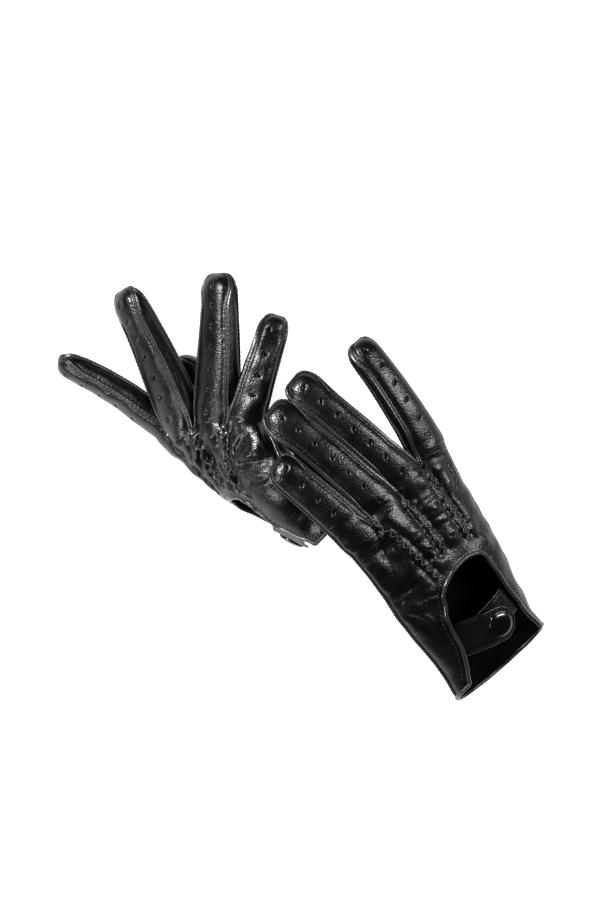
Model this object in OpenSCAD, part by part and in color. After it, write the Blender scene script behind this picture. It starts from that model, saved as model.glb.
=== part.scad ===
// A pair of leather driving gloves. The right glove lies on its thumb side with
// its fingers fanned out; the left glove lies over its wrist, back upward.
// Millimetres, +Z up. The gloves stand on z = 0.

/* [Leather] */
// Thickness of the leather
leather = 1.1; // [1:0.1:1.8]
// Half width of a fourchette, as an angle round the finger, degrees
gusset_angle = 38; // [25:1:45]
// Roundness of the finger section, 2 is an ellipse
finger_square = 2.35; // [2:0.05:3]
// Roundness of the hand section, 2 is an ellipse
hand_square = 2.2; // [2:0.05:3]

/* [Cuff] */
// Half width of the cuff edge
cuff_half_width = 34; // [28:0.5:40]
// Half depth of the cuff edge
cuff_half_depth = 18; // [12:0.5:24]
// Depth of the palm side against the back
palm_share = 0.78; // [0.5:0.02:1]
// Width of the turned hem
hem_width = 1.6; // [1:0.1:3]
// Width of the bound edge round the keyhole
binding_width = 1.4; // [0.8:0.1:2.5]

/* [Strap] */
// Width of the snap strap
strap_width = 23; // [16:0.5:26]
// Thickness of the strap
strap_thick = 1.5; // [1:0.1:2.5]
// How far past the snap the rounded end reaches
strap_nose = 10.5; // [9:0.5:14]
// Turn of the strap towards the fingers at its sewn end, degrees
strap_turn = 14; // [0:1:20]

/* [Snap fastener] */
// Diameter of the cap
cap_diameter = 16.5; // [12:0.5:20]
// Height of the domed cap
cap_height = 2.6; // [1.5:0.1:4]
// Diameter of the stud head
stud_diameter = 6; // [4:0.2:8]
// Gap between the stud and its socket, radial
snap_clearance = 0.6; // [0.4:0.05:1]

/* [Points] */
// Width of a raised point on the back
point_width = 1.8; // [1:0.1:3]
// Height of a raised point above the leather
point_height = 1.4; // [1:0.1:1.8]

/* [Hidden] */
$fn = 48;

leather_colour = [0.13, 0.13, 0.14];
inner_colour = [0.2, 0.2, 0.21];
metal_colour = [0.3, 0.3, 0.32];

// The whole pair is moved by this so that it stands on z = 0 about the origin.
place = [0.885, 4.35, 0.183];

// A glove: hand sign, digits from index to thumb, hem centre, hem axis, hem
// back direction, cuff half width, cuff half depth, height of the stud tab
// over the middle of the cuff, snap position along and across the cuff, bulge
// of the back at the knuckles, how far the palm reaches past the back at the hem.
// A digit: root, middle, tip, back direction, half widths at the root and the
// tip with the swell between them, half heights.
left_glove = [
  -1,
  [
    [[71.5, -28, 57], [74, 12, 68], [73.5, 50, 73], [0.48, -0.24, 1], [12.4, 9.5, 0], [9.2, 7.8]],
    [[49, -32, 67], [39.3, 10.7, 77.5], [28.5, 54, 83], [0.18, -0.28, 1], [10.6, 9.8, 0], [9.2, 8]],
    [[27.5, -39, 72], [18, 4, 80.5], [7, 47.5, 85], [0.22, -0.34, 1], [11, 10.8, 0.5], [9, 7.8]],
    [[6, -49.8, 72], [-1, -14.6, 80.5], [-9.8, 19.5, 85], [0.12, -0.3, 1], [11.2, 9.3, 0], [8.8, 7.4]],
    [[62, -110, 26], [55, -84, 16], [40, -56, 14], [0.3, 0, 1], [12.5, 10, 0], [11, 8.6]]
  ],
  [31, -153.5, 24.9], [0.055, 0.92, 0.37], [0.27, -0.36, 0.9], cuff_half_width + 2.5, cuff_half_depth,
  13.2, 0.14, 0.22, 0, 22
];
right_glove = [
  1,
  [
    [[-53, 78, 13.5], [-65.4, 116.8, 14], [-83, 151, 13], [-0.856, -0.296, 0.423], [10.4, 8.8, 1.5], [9, 7.6]],
    [[-43, 69, 32], [-30.8, 118, 33], [-23.5, 162, 34], [-0.735, 0.173, 0.656], [12, 10.6, 4], [9.8, 8]],
    [[-25, 61.8, 46], [5, 98, 50], [31, 134, 52], [-0.476, 0.345, 0.809], [12.2, 10.4, 2.4], [9.6, 8]],
    [[-7.6, 51.6, 58], [14.8, 69.2, 61], [45, 91, 62], [-0.05, 0.05, 0.99], [10.9, 8.2, 0], [8.6, 7]],
    [[-5, 38, 15], [-11, 74, 13.5], [-24, 108, 12.5], [-0.3, 0.1, 1], [12.5, 10, 0], [11, 8.6]]
  ],
  [-6.5, -27, 33], [-0.45, 0.89, 0], [-0.89, -0.45, 0], cuff_half_width - 1.6, cuff_half_depth + 4,
  16.6, 0.12, 0.2, 4, 13
];

function unit(v) = v / norm(v);
function mix(a, b, w) = a * (1 - w) + b * w;
function ease(x) = let (c = min(1, max(0, x))) c * c * (3 - 2 * c);
function bend(r, m, p, s) =
  let (c = 2 * m - (r + p) / 2)
  (1 - s) * (1 - s) * r + 2 * s * (1 - s) * c + s * s * p;
function slope(r, m, p, s) =
  let (c = 2 * m - (r + p) / 2)
  unit((1 - s) * (c - r) + s * (p - c));
function wave(x, k) = sign(x) * pow(abs(x), k);
function flat(rows) = [for (r = rows) for (p = r) p];

// Rows along a digit, closer together near the tip.
digit_steps = [0, 0.14, 0.28, 0.42, 0.56, 0.69, 0.8, 0.88, 0.94, 0.98, 1];
// Columns over the back or the palm of one finger.
arc_count = 5;
column_count = 4 * arc_count + 3;
last_column = column_count - 1;

// Section of a digit at s from root to tip, t inside the outer face.
function section(g, d, s0, t) =
  let (
    q = g[1][d],
    long = norm(q[2] - q[0]),
    s = s0 * (1 - t / long),
    c = bend(q[0], q[1], q[2], s),
    along = slope(q[0], q[1], q[2], s),
    n = unit(q[3] - (q[3] * along) * along),
    u = g[0] * cross(along, n),
    left = (1 - s0) * long / (1.15 * q[4][1]),
    dome = sqrt(max(0, 1 - pow(1 - min(1, left), 2))),
    swell = q[4][2] * 9.48 * s0 * pow(1 - s0, 3),
    a = (mix(q[4][0], q[4][1], s0) + swell) * (0.25 + 0.75 * dome) - t,
    b = max(mix(q[5][0], q[5][1], s0) * dome - t, 0.22)
  )
  [c, u, n, a, b];
function on_digit(g, d, s, deg, t) =
  let (k = section(g, d, s, t))
  k[0] + k[1] * k[3] * wave(cos(deg), 2 / finger_square)
    + k[2] * k[4] * wave(sin(deg), 2 / finger_square);
function gusset(s) = gusset_angle * (1 - 0.68 * ease((s - 0.72) / 0.28));

// Angles of the back (way = 1) or palm (way = -1) strip of a finger.
function arc_from(d, s) = d == 0 ? 180 : 180 - gusset(s);
function arc_to(d, s) = d == 3 ? 0 : gusset(s);
function strip(g, d, s, way, t) = [
  for (j = [0 : arc_count - 1])
    on_digit(g, d, s, way * mix(arc_from(d, s), arc_to(d, s), j / (arc_count - 1)), t)
];
// The turn between two fingers: way 1 back, 0 middle, -1 palm.
function crotch(g, d, way, t) =
  let (
    p = on_digit(g, d, 0, way * gusset_angle, t),
    q = on_digit(g, d + 1, 0, 180 - way * gusset_angle, t),
    a = slope(g[1][d][0], g[1][d][1], g[1][d][2], 0),
    b = slope(g[1][d + 1][0], g[1][d + 1][1], g[1][d + 1][2], 0)
  )
  (p + q) / 2 - unit(a + b) * (2.2 + t);
function root_row(g, way, t) = concat(
  strip(g, 0, 0, way, t), [crotch(g, 0, way, t)],
  strip(g, 1, 0, way, t), [crotch(g, 1, way, t)],
  strip(g, 2, 0, way, t), [crotch(g, 2, way, t)],
  strip(g, 3, 0, way, t)
);

// Sections of the hand from the hem (v = 0) to the finger roots (v = 1).
function root_centre(g) = (g[1][0][0] + g[1][1][0] + g[1][2][0] + g[1][3][0]) / 4;
function root_across(g) = unit(g[1][3][0] - g[1][0][0]);
function root_back(g) =
  let (
    sum = unit(g[1][0][3]) + unit(g[1][1][3]) + unit(g[1][2][3]) + unit(g[1][3][3]),
    u = root_across(g)
  )
  unit(sum - (sum * u) * u);
function hand_width(g, v) = lookup(v, [
  [0, g[5]], [0.08, g[5] - 1], [0.18, g[5] - 0.5], [0.32, g[5] + 2.5],
  [0.5, g[5] + 5], [0.72, 42], [1, 44]
]);
function hand_depth(g, v) = lookup(v, [
  [0, g[6]], [0.18, g[6]], [0.32, g[6] - 1], [0.5, g[6] - 2.5], [0.72, 14], [1, 11.5]
]);
function hand(g, v) =
  let (
    v0 = unit(g[3]),
    n0 = unit(g[4] - (g[4] * v0) * v0),
    u0 = g[0] * cross(v0, n0),
    end = root_centre(g),
    reach = norm(end - g[2]),
    mid = mix(g[2] + v0 * reach / 2, (g[2] + end) / 2, 0.75),
    w = ease(v * 1.15 - 0.1),
    n1 = unit(mix(n0, root_back(g), w)),
    swell = ease(v / 0.75) * (1 - ease((v - 0.75) / 0.4)),
    c = bend(g[2], mid, end, v) + n1 * g[10] * swell,
    u1 = mix(u0, root_across(g), w),
    u = unit(u1 - (u1 * n1) * n1)
  )
  [c, u, n1, hand_width(g, v), hand_depth(g, v)];
// A point of the hand at x across (thumb side negative), back or palm.
function on_hand(g, x, v, way, t) =
  let (
    k = hand(g, v),
    f = max(-1, min(1, x)),
    h = pow(max(0, 1 - pow(abs(f), hand_square)), 1 / hand_square)
  )
  k[0] + k[1] * (k[3] - t) * f + k[2] * (way < 0 ? -palm_share : 1) * (k[4] - t) * h
    - unit(g[3]) * g[11] * (1 - way * h) / 2 * (1 - ease(v / 0.4));

// Rows of the hand: up to key_row they stop at the keyhole.
hand_rows = [0, 0.07, 0.14, 0.23, 0.32, 0.41, 0.5, 0.59, 0.68, 0.78, 0.88, 0.95, 1];
last_row = len(hand_rows) - 1;
key_row = 5;
key_left = 4;
key_right = 14;
key_rise = 0.107;
// Edges of the keyhole across the back, as shares of the half width.
function key_near(g, v) = lookup(v, [
  [0, -0.877], [0.1, -0.822], [0.28, -0.689], [0.41, -0.642], [0.62, -0.65], [1, -0.636]
]);
function key_far(g, v) = lookup(v, g[0] < 0 ? [
  [0, 0.78], [0.17, 0.59], [0.29, 0.533], [0.36, 0.48], [0.41, 0.382], [0.62, 0.3], [1, 0.273]
] : [
  [0, 0.78], [0.17, 0.59], [0.23, 0.47], [0.29, 0.4], [0.36, 0.33], [0.41, 0.25], [0.62, 0.2], [1, 0.2]
]);
function even(i) = -1 + 2 * i / last_column;
function back_x(g, i, v) =
  let (a = key_near(g, v), b = key_far(g, v))
  i <= key_left ? mix(-1, a, i / key_left)
  : i >= key_right ? mix(b, 1, (i - key_right) / (last_column - key_right))
  : mix(a, b, (i - key_left) / (key_right - key_left));
function rise(i) =
  let (q = (i - key_left) / (key_right - key_left))
  q <= 0 || q >= 1 ? 0 : sqrt(4 * q * (1 - q));
function blended(g, i, x, v, way, t, roots) =
  let (w = ease((v - 0.55) / 0.45))
  mix(on_hand(g, x, v, way, t), roots[i], w);
function back_row(g, r, t, roots) = [
  for (i = [0 : last_column])
    let (
      v0 = hand_rows[r],
      v = v0 + key_rise * rise(i) * (r < key_row ? 0 : 1 - ease((v0 - 0.41) / 0.42))
    )
    r == last_row ? roots[i] : blended(g, i, back_x(g, i, v0), v, 1, t, roots)
];

// Thumb hole in the palm: rows and columns left out of the palm panel.
hole_low = 3;
hole_high = 8;
hole_first = 1;
hole_last = 8;
function hole_p(i) = 2 * (i - hole_first) / (hole_last - hole_first) - 1;
function hole_q(r) = 2 * (r - hole_low) / (hole_high - hole_low) - 1;
function on_edge(p, q) = max(abs(p), abs(q)) > 0.999 && max(abs(p), abs(q)) < 1.001;
function palm_row(g, r, t, roots) = [
  for (i = [0 : last_column])
    let (
      p = hole_p(i),
      q = hole_q(r),
      x0 = even(i),
      v0 = hand_rows[r],
      xc = (even(hole_first) + even(hole_last)) / 2,
      xr = (even(hole_last) - even(hole_first)) / 2,
      vc = (hand_rows[hole_low] + hand_rows[hole_high]) / 2,
      vr = (hand_rows[hole_high] - hand_rows[hole_low]) / 2,
      x = on_edge(p, q) ? xc + xr * p * sqrt(1 - q * q / 2) : x0,
      v = on_edge(p, q) ? vc + vr * q * sqrt(1 - p * p / 2) : v0
    )
    r == last_row ? roots[i] : blended(g, i, x, v, -1, t, roots)
];

// Index of a vertex in a panel: hand grid first, then the four finger strips.
step_count = len(digit_steps) - 1;
hand_points = column_count * (last_row + 1);
finger_points = arc_count * step_count;
sheet_points = hand_points + 4 * finger_points;
function at_hand(r, i) = r * column_count + i;
function first_of(d) = d * (arc_count + 1);
function at_finger(d, k, j) =
  k == 0 ? at_hand(last_row, first_of(d) + j)
  : hand_points + d * finger_points + (k - 1) * arc_count + j;
function finger_strips(g, way, t) = [
  for (d = [0 : 3])
    for (k = [1 : step_count])
      for (p = strip(g, d, digit_steps[k], way, t)) p
];
function quad(a, b, c, d) = [[a, b, c], [a, c, d]];
function finger_quads() = [
  for (d = [0 : 3])
    for (k = [0 : step_count - 1])
      for (j = [0 : arc_count - 2])
        for (f = quad(at_finger(d, k, j), at_finger(d, k, j + 1),
                      at_finger(d, k + 1, j + 1), at_finger(d, k + 1, j))) f
];
function finger_edge() = [
  for (d = [0 : 3])
    for (p = concat(
      [for (k = [0 : step_count]) at_finger(d, k, 0)],
      [for (j = [1 : arc_count - 1]) at_finger(d, step_count, j)],
      [for (k = [step_count - 1 : -1 : 0]) at_finger(d, k, arc_count - 1)],
      d < 3 ? [at_hand(last_row, first_of(d) + arc_count)] : []
    )) p
];
function in_key(r, i) = r < key_row && i >= key_left && i < key_right;
function in_hole(r, i) = r >= hole_low && r < hole_high && i >= hole_first && i < hole_last;

// Faces of a shell: outer faces, inner faces and a wall along each edge loop.
function flip(fs, yes) = yes ? [for (f = fs) [f[2], f[1], f[0]]] : fs;
function rank(p) = p * [1, 0.37, 0.19];
function walls(loop, shift, pts) = [
  for (k = [0 : len(loop) - 1])
    let (a = loop[k], b = loop[(k + 1) % len(loop)])
      for (f = rank(pts[a]) < rank(pts[b])
             ? quad(a, b, b + shift, a + shift)
             : quad(b, b + shift, a + shift, a)) f
];
function shell_faces(quads, loops, shift, pts) = concat(
  quads,
  [for (f = quads) [f[0] + shift, f[2] + shift, f[1] + shift]],
  [for (l = loops) for (f = walls(l, shift, pts)) f]
);

module back_panel(g) {
  outer_roots = root_row(g, 1, 0);
  inner_roots = root_row(g, 1, leather);
  outer = concat(
    [for (r = [0 : last_row]) for (p = back_row(g, r, 0, outer_roots)) p],
    finger_strips(g, 1, 0)
  );
  inner = concat(
    [for (r = [0 : last_row]) for (p = back_row(g, r, leather, inner_roots)) p],
    finger_strips(g, 1, leather)
  );
  used = [
    for (r = [0 : last_row - 1])
      for (i = [0 : last_column - 1])
        if (!in_key(r, i))
          for (f = quad(at_hand(r, i), at_hand(r, i + 1), at_hand(r + 1, i + 1), at_hand(r + 1, i))) f
  ];
  rim = concat(
    [for (r = [0 : last_row - 1]) at_hand(r, 0)],
    finger_edge(),
    [for (r = [last_row - 1 : -1 : 0]) at_hand(r, last_column)],
    [for (i = [last_column - 1 : -1 : key_right]) at_hand(0, i)],
    [for (r = [1 : key_row]) at_hand(r, key_right)],
    [for (i = [key_right - 1 : -1 : key_left]) at_hand(key_row, i)],
    [for (r = [key_row - 1 : -1 : 0]) at_hand(r, key_left)],
    [for (i = [key_left - 1 : -1 : 1]) at_hand(0, i)]
  );
  shell(g, outer, inner, concat(used, finger_quads()), [rim], 1);
}

module palm_panel(g) {
  outer_roots = root_row(g, -1, 0);
  inner_roots = root_row(g, -1, leather);
  outer = concat(
    [for (r = [0 : last_row]) for (p = palm_row(g, r, 0, outer_roots)) p],
    finger_strips(g, -1, 0)
  );
  inner = concat(
    [for (r = [0 : last_row]) for (p = palm_row(g, r, leather, inner_roots)) p],
    finger_strips(g, -1, leather)
  );
  used = [
    for (r = [0 : last_row - 1])
      for (i = [0 : last_column - 1])
        if (!in_hole(r, i))
          for (f = quad(at_hand(r, i), at_hand(r, i + 1), at_hand(r + 1, i + 1), at_hand(r + 1, i))) f
  ];
  rim = concat(
    [for (r = [0 : last_row - 1]) at_hand(r, 0)],
    finger_edge(),
    [for (r = [last_row - 1 : -1 : 0]) at_hand(r, last_column)],
    [for (i = [last_column - 1 : -1 : 1]) at_hand(0, i)]
  );
  hole = concat(
    [for (i = [hole_first : hole_last]) at_hand(hole_low, i)],
    [for (r = [hole_low + 1 : hole_high]) at_hand(r, hole_last)],
    [for (i = [hole_last - 1 : -1 : hole_first]) at_hand(hole_high, i)],
    [for (r = [hole_high - 1 : -1 : hole_low + 1]) at_hand(r, hole_first)]
  );
  shell(g, outer, inner, concat(used, finger_quads()), [rim, hole], -1);
}

// One closed shell; way and the hand decide which way its faces turn.
module shell(g, outer, inner, quads, loops, way) {
  used = len(outer);
  polyhedron(
    points = concat(outer, inner),
    faces = flip(shell_faces(quads, loops, used, outer), g[0] * way > 0),
    convexity = 10
  );
}

// A rectangular sheet from rows of outer and inner points.
module sheet(g, outer, inner, way) {
  rows = len(outer);
  cols = len(outer[0]);
  quads = [
    for (r = [0 : rows - 2])
      for (i = [0 : cols - 2])
        for (f = quad(r * cols + i, r * cols + i + 1, (r + 1) * cols + i + 1, (r + 1) * cols + i)) f
  ];
  rim = concat(
    [for (r = [0 : rows - 1]) r * cols],
    [for (i = [1 : cols - 1]) (rows - 1) * cols + i],
    [for (r = [rows - 2 : -1 : 0]) r * cols + cols - 1],
    [for (i = [cols - 2 : -1 : 1]) i]
  );
  shell(g, flat(outer), flat(inner), quads, [rim], way);
}

// Fork-shaped side wall of two fingers, from one tip round the turn to the other.
function fork_rows(g, d, t) = concat(
  [
    for (k = [step_count : -1 : 0])
      let (s = digit_steps[k])
      [for (w = [-1, 0, 1]) on_digit(g, d, s, w * gusset(s), t)]
  ],
  [[for (w = [-1, 0, 1]) crotch(g, d, w, t)]],
  [
    for (k = [0 : step_count])
      let (s = digit_steps[k])
      [for (w = [-1, 0, 1]) on_digit(g, d + 1, s, 180 - w * gusset(s), t)]
  ]
);
module fourchette(g, d) {
  sheet(g, fork_rows(g, d, 0), fork_rows(g, d, leather), 1);
}

// Thumb tube: from the edge of the thumb hole to the tip.
function hole_ring() = concat(
  [for (i = [hole_first : hole_last - 1]) [hole_p(i), -1]],
  [for (r = [hole_low : hole_high - 1]) [1, hole_q(r)]],
  [for (i = [hole_last : -1 : hole_first + 1]) [hole_p(i), 1]],
  [for (r = [hole_high : -1 : hole_low + 1]) [-1, hole_q(r)]]
);
thumb_steps = [0, 0.1, 0.22, 0.36, 0.5, 0.63, 0.75, 0.85, 0.92, 0.97, 1];
function thumb_base(g, p, q, t) =
  let (
    xc = (even(hole_first) + even(hole_last)) / 2,
    xr = (even(hole_last) - even(hole_first)) / 2,
    vc = (hand_rows[hole_low] + hand_rows[hole_high]) / 2,
    vr = (hand_rows[hole_high] - hand_rows[hole_low]) / 2,
    v = vc + vr * q * sqrt(1 - p * p / 2),
    x = xc + xr * p * sqrt(1 - q * q / 2)
  )
  on_hand(g, x, v, -1, t);
function thumb_point(g, p, q, s, t) =
  let (
    k = section(g, 4, s, t),
    m = hand(g, 0.4),
    along = slope(g[1][4][0], g[1][4][1], g[1][4][2], s),
    e1 = unit(m[1] - (m[1] * along) * along),
    e2 = -g[0] * cross(along, e1),
    turn = atan2(q * sqrt(1 - p * p / 2), p * sqrt(1 - q * q / 2)),
    free = k[0] + e1 * k[3] * cos(turn) + e2 * k[4] * sin(turn)
  )
  mix(thumb_base(g, p, q, t), free, ease(s / 0.3));
function thumb_rows(g, from, to, t) =
  let (ring = hole_ring(), many = len(ring))
  [
    for (s = thumb_steps)
      [for (k = [from : to]) thumb_point(g, ring[k % many][0], ring[k % many][1], s, t)]
  ];
thumb_half = len(hole_ring()) / 2;
module thumb_side(g, from) {
  sheet(g, thumb_rows(g, from, from + thumb_half, 0), thumb_rows(g, from, from + thumb_half, leather), -1);
}

// Bar along a path of closed rings.
module bar(rings, turned) {
  many = len(rings[0]);
  last = len(rings) - 1;
  sides = [
    for (r = [0 : last - 1])
      for (i = [0 : many - 1])
        let (j = (i + 1) % many)
          for (f = quad(r * many + i, (r + 1) * many + i, (r + 1) * many + j, r * many + j)) f
  ];
  caps = [
    for (i = [1 : many - 2]) each [[0, i, i + 1], [last * many, last * many + i + 1, last * many + i]]
  ];
  polyhedron(points = flat(rings), faces = flip(concat(sides, caps), turned), convexity = 10);
}
function along(path, k) =
  let (a = path[max(0, k - 1)], b = path[min(len(path) - 1, k + 1)])
  unit(b - a);

// Bound edge of the keyhole, in the opening against the cut edge of the back.
function key_edge(g, t) =
  let (
    roots = root_row(g, 1, t),
    rows = [for (r = [0 : key_row]) back_row(g, r, t, roots)]
  )
  concat(
    [for (r = [0 : key_row - 1]) rows[r][key_left]],
    [for (i = [key_left : key_right]) rows[key_row][i]],
    [for (r = [key_row - 1 : -1 : 0]) rows[r][key_right]]
  );
module keyhole_binding(g) {
  edge = key_edge(g, 0);
  under = key_edge(g, leather);
  rings = [
    for (k = [0 : len(edge) - 1])
      let (
        n = unit(edge[k] - under[k]),
        side = unit(cross(along(edge, k), n)) * g[0]
      )
      [
        edge[k] + side * 0.06 + n * 0.5,
        edge[k] + side * binding_width + n * 0.5,
        under[k] + side * binding_width - n * 0.4,
        under[k] + side * 0.06 - n * 0.4
      ]
  ];
  bar(rings, g[0] < 0);
}

// Turned hem round the cuff, from one side of the keyhole to the other.
function hem_edge(g, t) =
  let (
    back = back_row(g, 0, t, root_row(g, 1, t)),
    palm = palm_row(g, 0, t, root_row(g, -1, t))
  )
  concat(
    [for (i = [key_right : last_column]) back[i]],
    [for (i = [last_column - 1 : -1 : 1]) palm[i]],
    [for (i = [0 : key_left]) back[i]]
  );
module cuff_hem(g) {
  edge = hem_edge(g, 0);
  under = hem_edge(g, leather);
  down = -unit(g[3]);
  rings = [
    for (k = [0 : len(edge) - 1])
      let (n = unit(edge[k] - under[k]))
      [
        edge[k] + down * 0.06 + n * 0.5,
        edge[k] + down * hem_width + n * 0.5,
        under[k] + down * hem_width - n * 0.4,
        under[k] + down * 0.06 - n * 0.4
      ]
  ];
  bar(rings, g[0] < 0);
}

// Raised points on the back: column and row at each end.
point_lines = [
  [[4.9, 9.9], [5.3, 5.7]],
  [[10.1, 9.5], [9.7, 5.8]],
  [[16, 9.9], [12.7, 5.5]]
];
function on_panel(rows, i, r) =
  let (
    i0 = min(floor(i), last_column - 1),
    r0 = min(floor(r), last_row - 1),
    a = mix(rows[r0][i0], rows[r0][i0 + 1], i - i0),
    b = mix(rows[r0 + 1][i0], rows[r0 + 1][i0 + 1], i - i0)
  )
  mix(a, b, r - r0);
module point_ridge(g, which) {
  outer_roots = root_row(g, 1, 0);
  inner_roots = root_row(g, 1, leather);
  outer = [for (r = [0 : last_row]) back_row(g, r, 0, outer_roots)];
  inner = [for (r = [0 : last_row]) back_row(g, r, leather, inner_roots)];
  line = point_lines[which];
  steps = 18;
  path = [for (k = [0 : steps]) let (q = mix(line[0], line[1], k / steps)) on_panel(outer, q[0], q[1])];
  under = [for (k = [0 : steps]) let (q = mix(line[0], line[1], k / steps)) on_panel(inner, q[0], q[1])];
  rings = [
    for (k = [0 : steps])
      let (
        n = unit(path[k] - under[k]),
        side = unit(cross(along(path, k), n)) * point_width / 2
      )
      [
        path[k] + side + n * 0.95,
        path[k] + side * 0.4 + n * point_height,
        path[k] - side * 0.4 + n * point_height,
        path[k] - side + n * 0.95
      ]
  ];
  bar(rings, true);
}

// Frame of the snap: origin on the stud tab, x from the sewn end to the nose
// of the strap, z out of the back of the glove.
module at_snap(g) {
  k = hand(g, g[8]);
  x = -k[1];
  z = k[2];
  y = cross(z, x);
  o = k[0] - k[1] * g[9] * k[3] + z * g[7];
  multmatrix([
    [x[0], y[0], z[0], o[0]],
    [x[1], y[1], z[1], o[1]],
    [x[2], y[2], z[2], o[2]],
    [0, 0, 0, 1]
  ])
    children();
}
// Height of the back of the hand over the tab face, x from the snap axis.
function over_tab(g, x) =
  let (
    k = hand(g, g[8]),
    f = min(1, abs((x + g[9] * k[3]) / k[3]))
  )
  k[4] * pow(1 - pow(f, hand_square), 1 / hand_square) - g[7];
// Profile seen along the hand, drawn as x against height, extruded across it.
module profile(points, width) {
  translate([0, width / 2, 0])
    rotate([90, 0, 0])
      linear_extrude(height = width)
        polygon(points);
}
socket_top = 3.4;
// Cut edge of the back at the sewn end of the strap, and the strap's own end.
function cut_edge(g) =
  let (k = hand(g, g[8]))
  -(key_far(g, g[8] + 0.03) + g[9]) * k[3];
function strap_start(g) = cut_edge(g) * cos(strap_turn) + binding_width + 0.5;
shank_radius = 1.2;
module snap_hole(low, high) {
  translate([0, 0, low])
    cylinder(r = shank_radius + 0.15, h = high - low);
}
// Height of the strap where it leaves the cut edge, under the leather.
function strap_low(g) = over_tab(g, cut_edge(g)) - leather - 0.9 - strap_thick;
module strap(g) {
  start = strap_start(g);
  low = strap_low(g);
  at_snap(g)
    rotate([0, 0, g[0] * strap_turn])
      difference() {
        intersection() {
          profile([
            [start, low], [-10, socket_top], [strap_nose + 1, socket_top],
            [strap_nose + 1, socket_top + strap_thick], [-10, socket_top + strap_thick],
            [start, low + strap_thick]
          ], strap_width);
          translate([0, 0, -10])
            linear_extrude(height = 30)
              union() {
                translate([start - 1, -strap_width / 2])
                  square([-start + 1, strap_width]);
                scale([strap_nose / (strap_width / 2), 1])
                  circle(d = strap_width);
              }
        }
        snap_hole(socket_top - 1, socket_top + strap_thick + 1);
      }
}
// Sewn end of the strap, inside the cuff under the cut edge.
module strap_root(g) {
  start = strap_start(g) - 0.3;
  low = strap_low(g);
  far = start - 6;
  drop = over_tab(g, far) - over_tab(g, cut_edge(g)) - 0.7;
  at_snap(g)
    rotate([0, 0, g[0] * strap_turn])
      profile([
        [start, low], [start, low + strap_thick], [start - 1.5, low + strap_thick],
        [far, low + strap_thick + drop], [far, low + drop], [start - 1.5, low]
      ], strap_width - 3);
}
tab_width = 20;
tab_nose = 7.5;
tab_turn = 8;
tab_shift = 4;
tab_thick = 1.2;
tab_under = 1.9;
// The tab runs under the leather past the thumb side of the keyhole, where it is sewn.
module stud_tab(g) {
  k = hand(g, g[8]);
  edge = -k[3] * (key_near(g, g[8]) + g[9]);
  knee = edge - 5.5;
  end = edge + tab_under;
  dip = min(0, over_tab(g, knee) - leather - 1.6);
  drop = over_tab(g, end) - leather - 1.6;
  at_snap(g)
    difference() {
      rotate([0, 0, -g[0] * tab_turn])
        translate([0, -g[0] * tab_shift, 0])
          profile([
            [-tab_nose, -tab_thick], [7, -tab_thick], [knee, dip - tab_thick],
            [end, drop - tab_thick], [end, drop], [knee, dip], [7, 0], [-tab_nose, 0]
          ], tab_width);
      snap_hole(-tab_thick - 1, 1);
    }
}
module snap_cap(g) {
  r = cap_diameter / 2;
  low = socket_top + strap_thick;
  at_snap(g)
    rotate_extrude($fn = 64)
      polygon([
        [0, socket_top - 0.4], [shank_radius, socket_top - 0.4], [shank_radius, low + 0.05],
        [r - 0.6, low + 0.05], [r, low + 0.5], [r, low + 1.2], [r * 0.96, low + 1.7],
        [r * 0.86, low + 2.05], [r * 0.6, low + cap_height * 0.92], [0, low + cap_height]
      ]);
}
module snap_socket(g) {
  stud = stud_diameter / 2;
  at_snap(g)
    rotate_extrude($fn = 48)
      polygon([
        [stud + snap_clearance, 1], [stud + 2.2, 1], [stud + 2.2, socket_top - 0.02],
        [shank_radius, socket_top - 0.02], [shank_radius, 2.9], [stud + snap_clearance, 2.9]
      ]);
}
module snap_stud(g) {
  stud = stud_diameter / 2;
  at_snap(g)
    rotate_extrude($fn = 48)
      polygon([
        [shank_radius, 0.02], [stud + 1.5, 0.02], [stud + 1.5, 0.7], [stud - 0.4, 0.7],
        [stud - 0.4, 1.3], [stud, 1.6], [stud, 2.1], [stud - 0.6, 2.6], [0, 2.6], [0, 1.6],
        [shank_radius, 1.6]
      ]);
}
module snap_post(g) {
  at_snap(g)
    rotate_extrude($fn = 48)
      polygon([
        [0, -tab_thick - 0.7], [4.2, -tab_thick - 0.7], [4.2, -tab_thick - 0.02],
        [shank_radius, -tab_thick - 0.02], [shank_radius, 1.55], [0, 1.55]
      ]);
}

// The right glove.
module right_back_panel() {
  color(leather_colour)
    translate(place)
      back_panel(right_glove);
}
module right_palm_panel() {
  color(leather_colour)
    translate(place)
      palm_panel(right_glove);
}
module right_fourchette_index_middle() {
  color(leather_colour)
    translate(place)
      fourchette(right_glove, 0);
}
module right_fourchette_middle_ring() {
  color(leather_colour)
    translate(place)
      fourchette(right_glove, 1);
}
module right_fourchette_ring_little() {
  color(leather_colour)
    translate(place)
      fourchette(right_glove, 2);
}
module right_thumb_back() {
  color(leather_colour)
    translate(place)
      thumb_side(right_glove, 6);
}
module right_thumb_front() {
  color(leather_colour)
    translate(place)
      thumb_side(right_glove, thumb_half + 6);
}
module right_keyhole_binding() {
  color(inner_colour)
    translate(place)
      keyhole_binding(right_glove);
}
module right_cuff_hem() {
  color(inner_colour)
    translate(place)
      cuff_hem(right_glove);
}
module right_point_inner() {
  color(inner_colour)
    translate(place)
      point_ridge(right_glove, 0);
}
module right_point_centre() {
  color(inner_colour)
    translate(place)
      point_ridge(right_glove, 1);
}
module right_point_outer() {
  color(inner_colour)
    translate(place)
      point_ridge(right_glove, 2);
}
module right_strap_root() {
  color(inner_colour)
    translate(place)
      strap_root(right_glove);
}
module right_strap() {
  color(inner_colour)
    translate(place)
      strap(right_glove);
}
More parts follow.
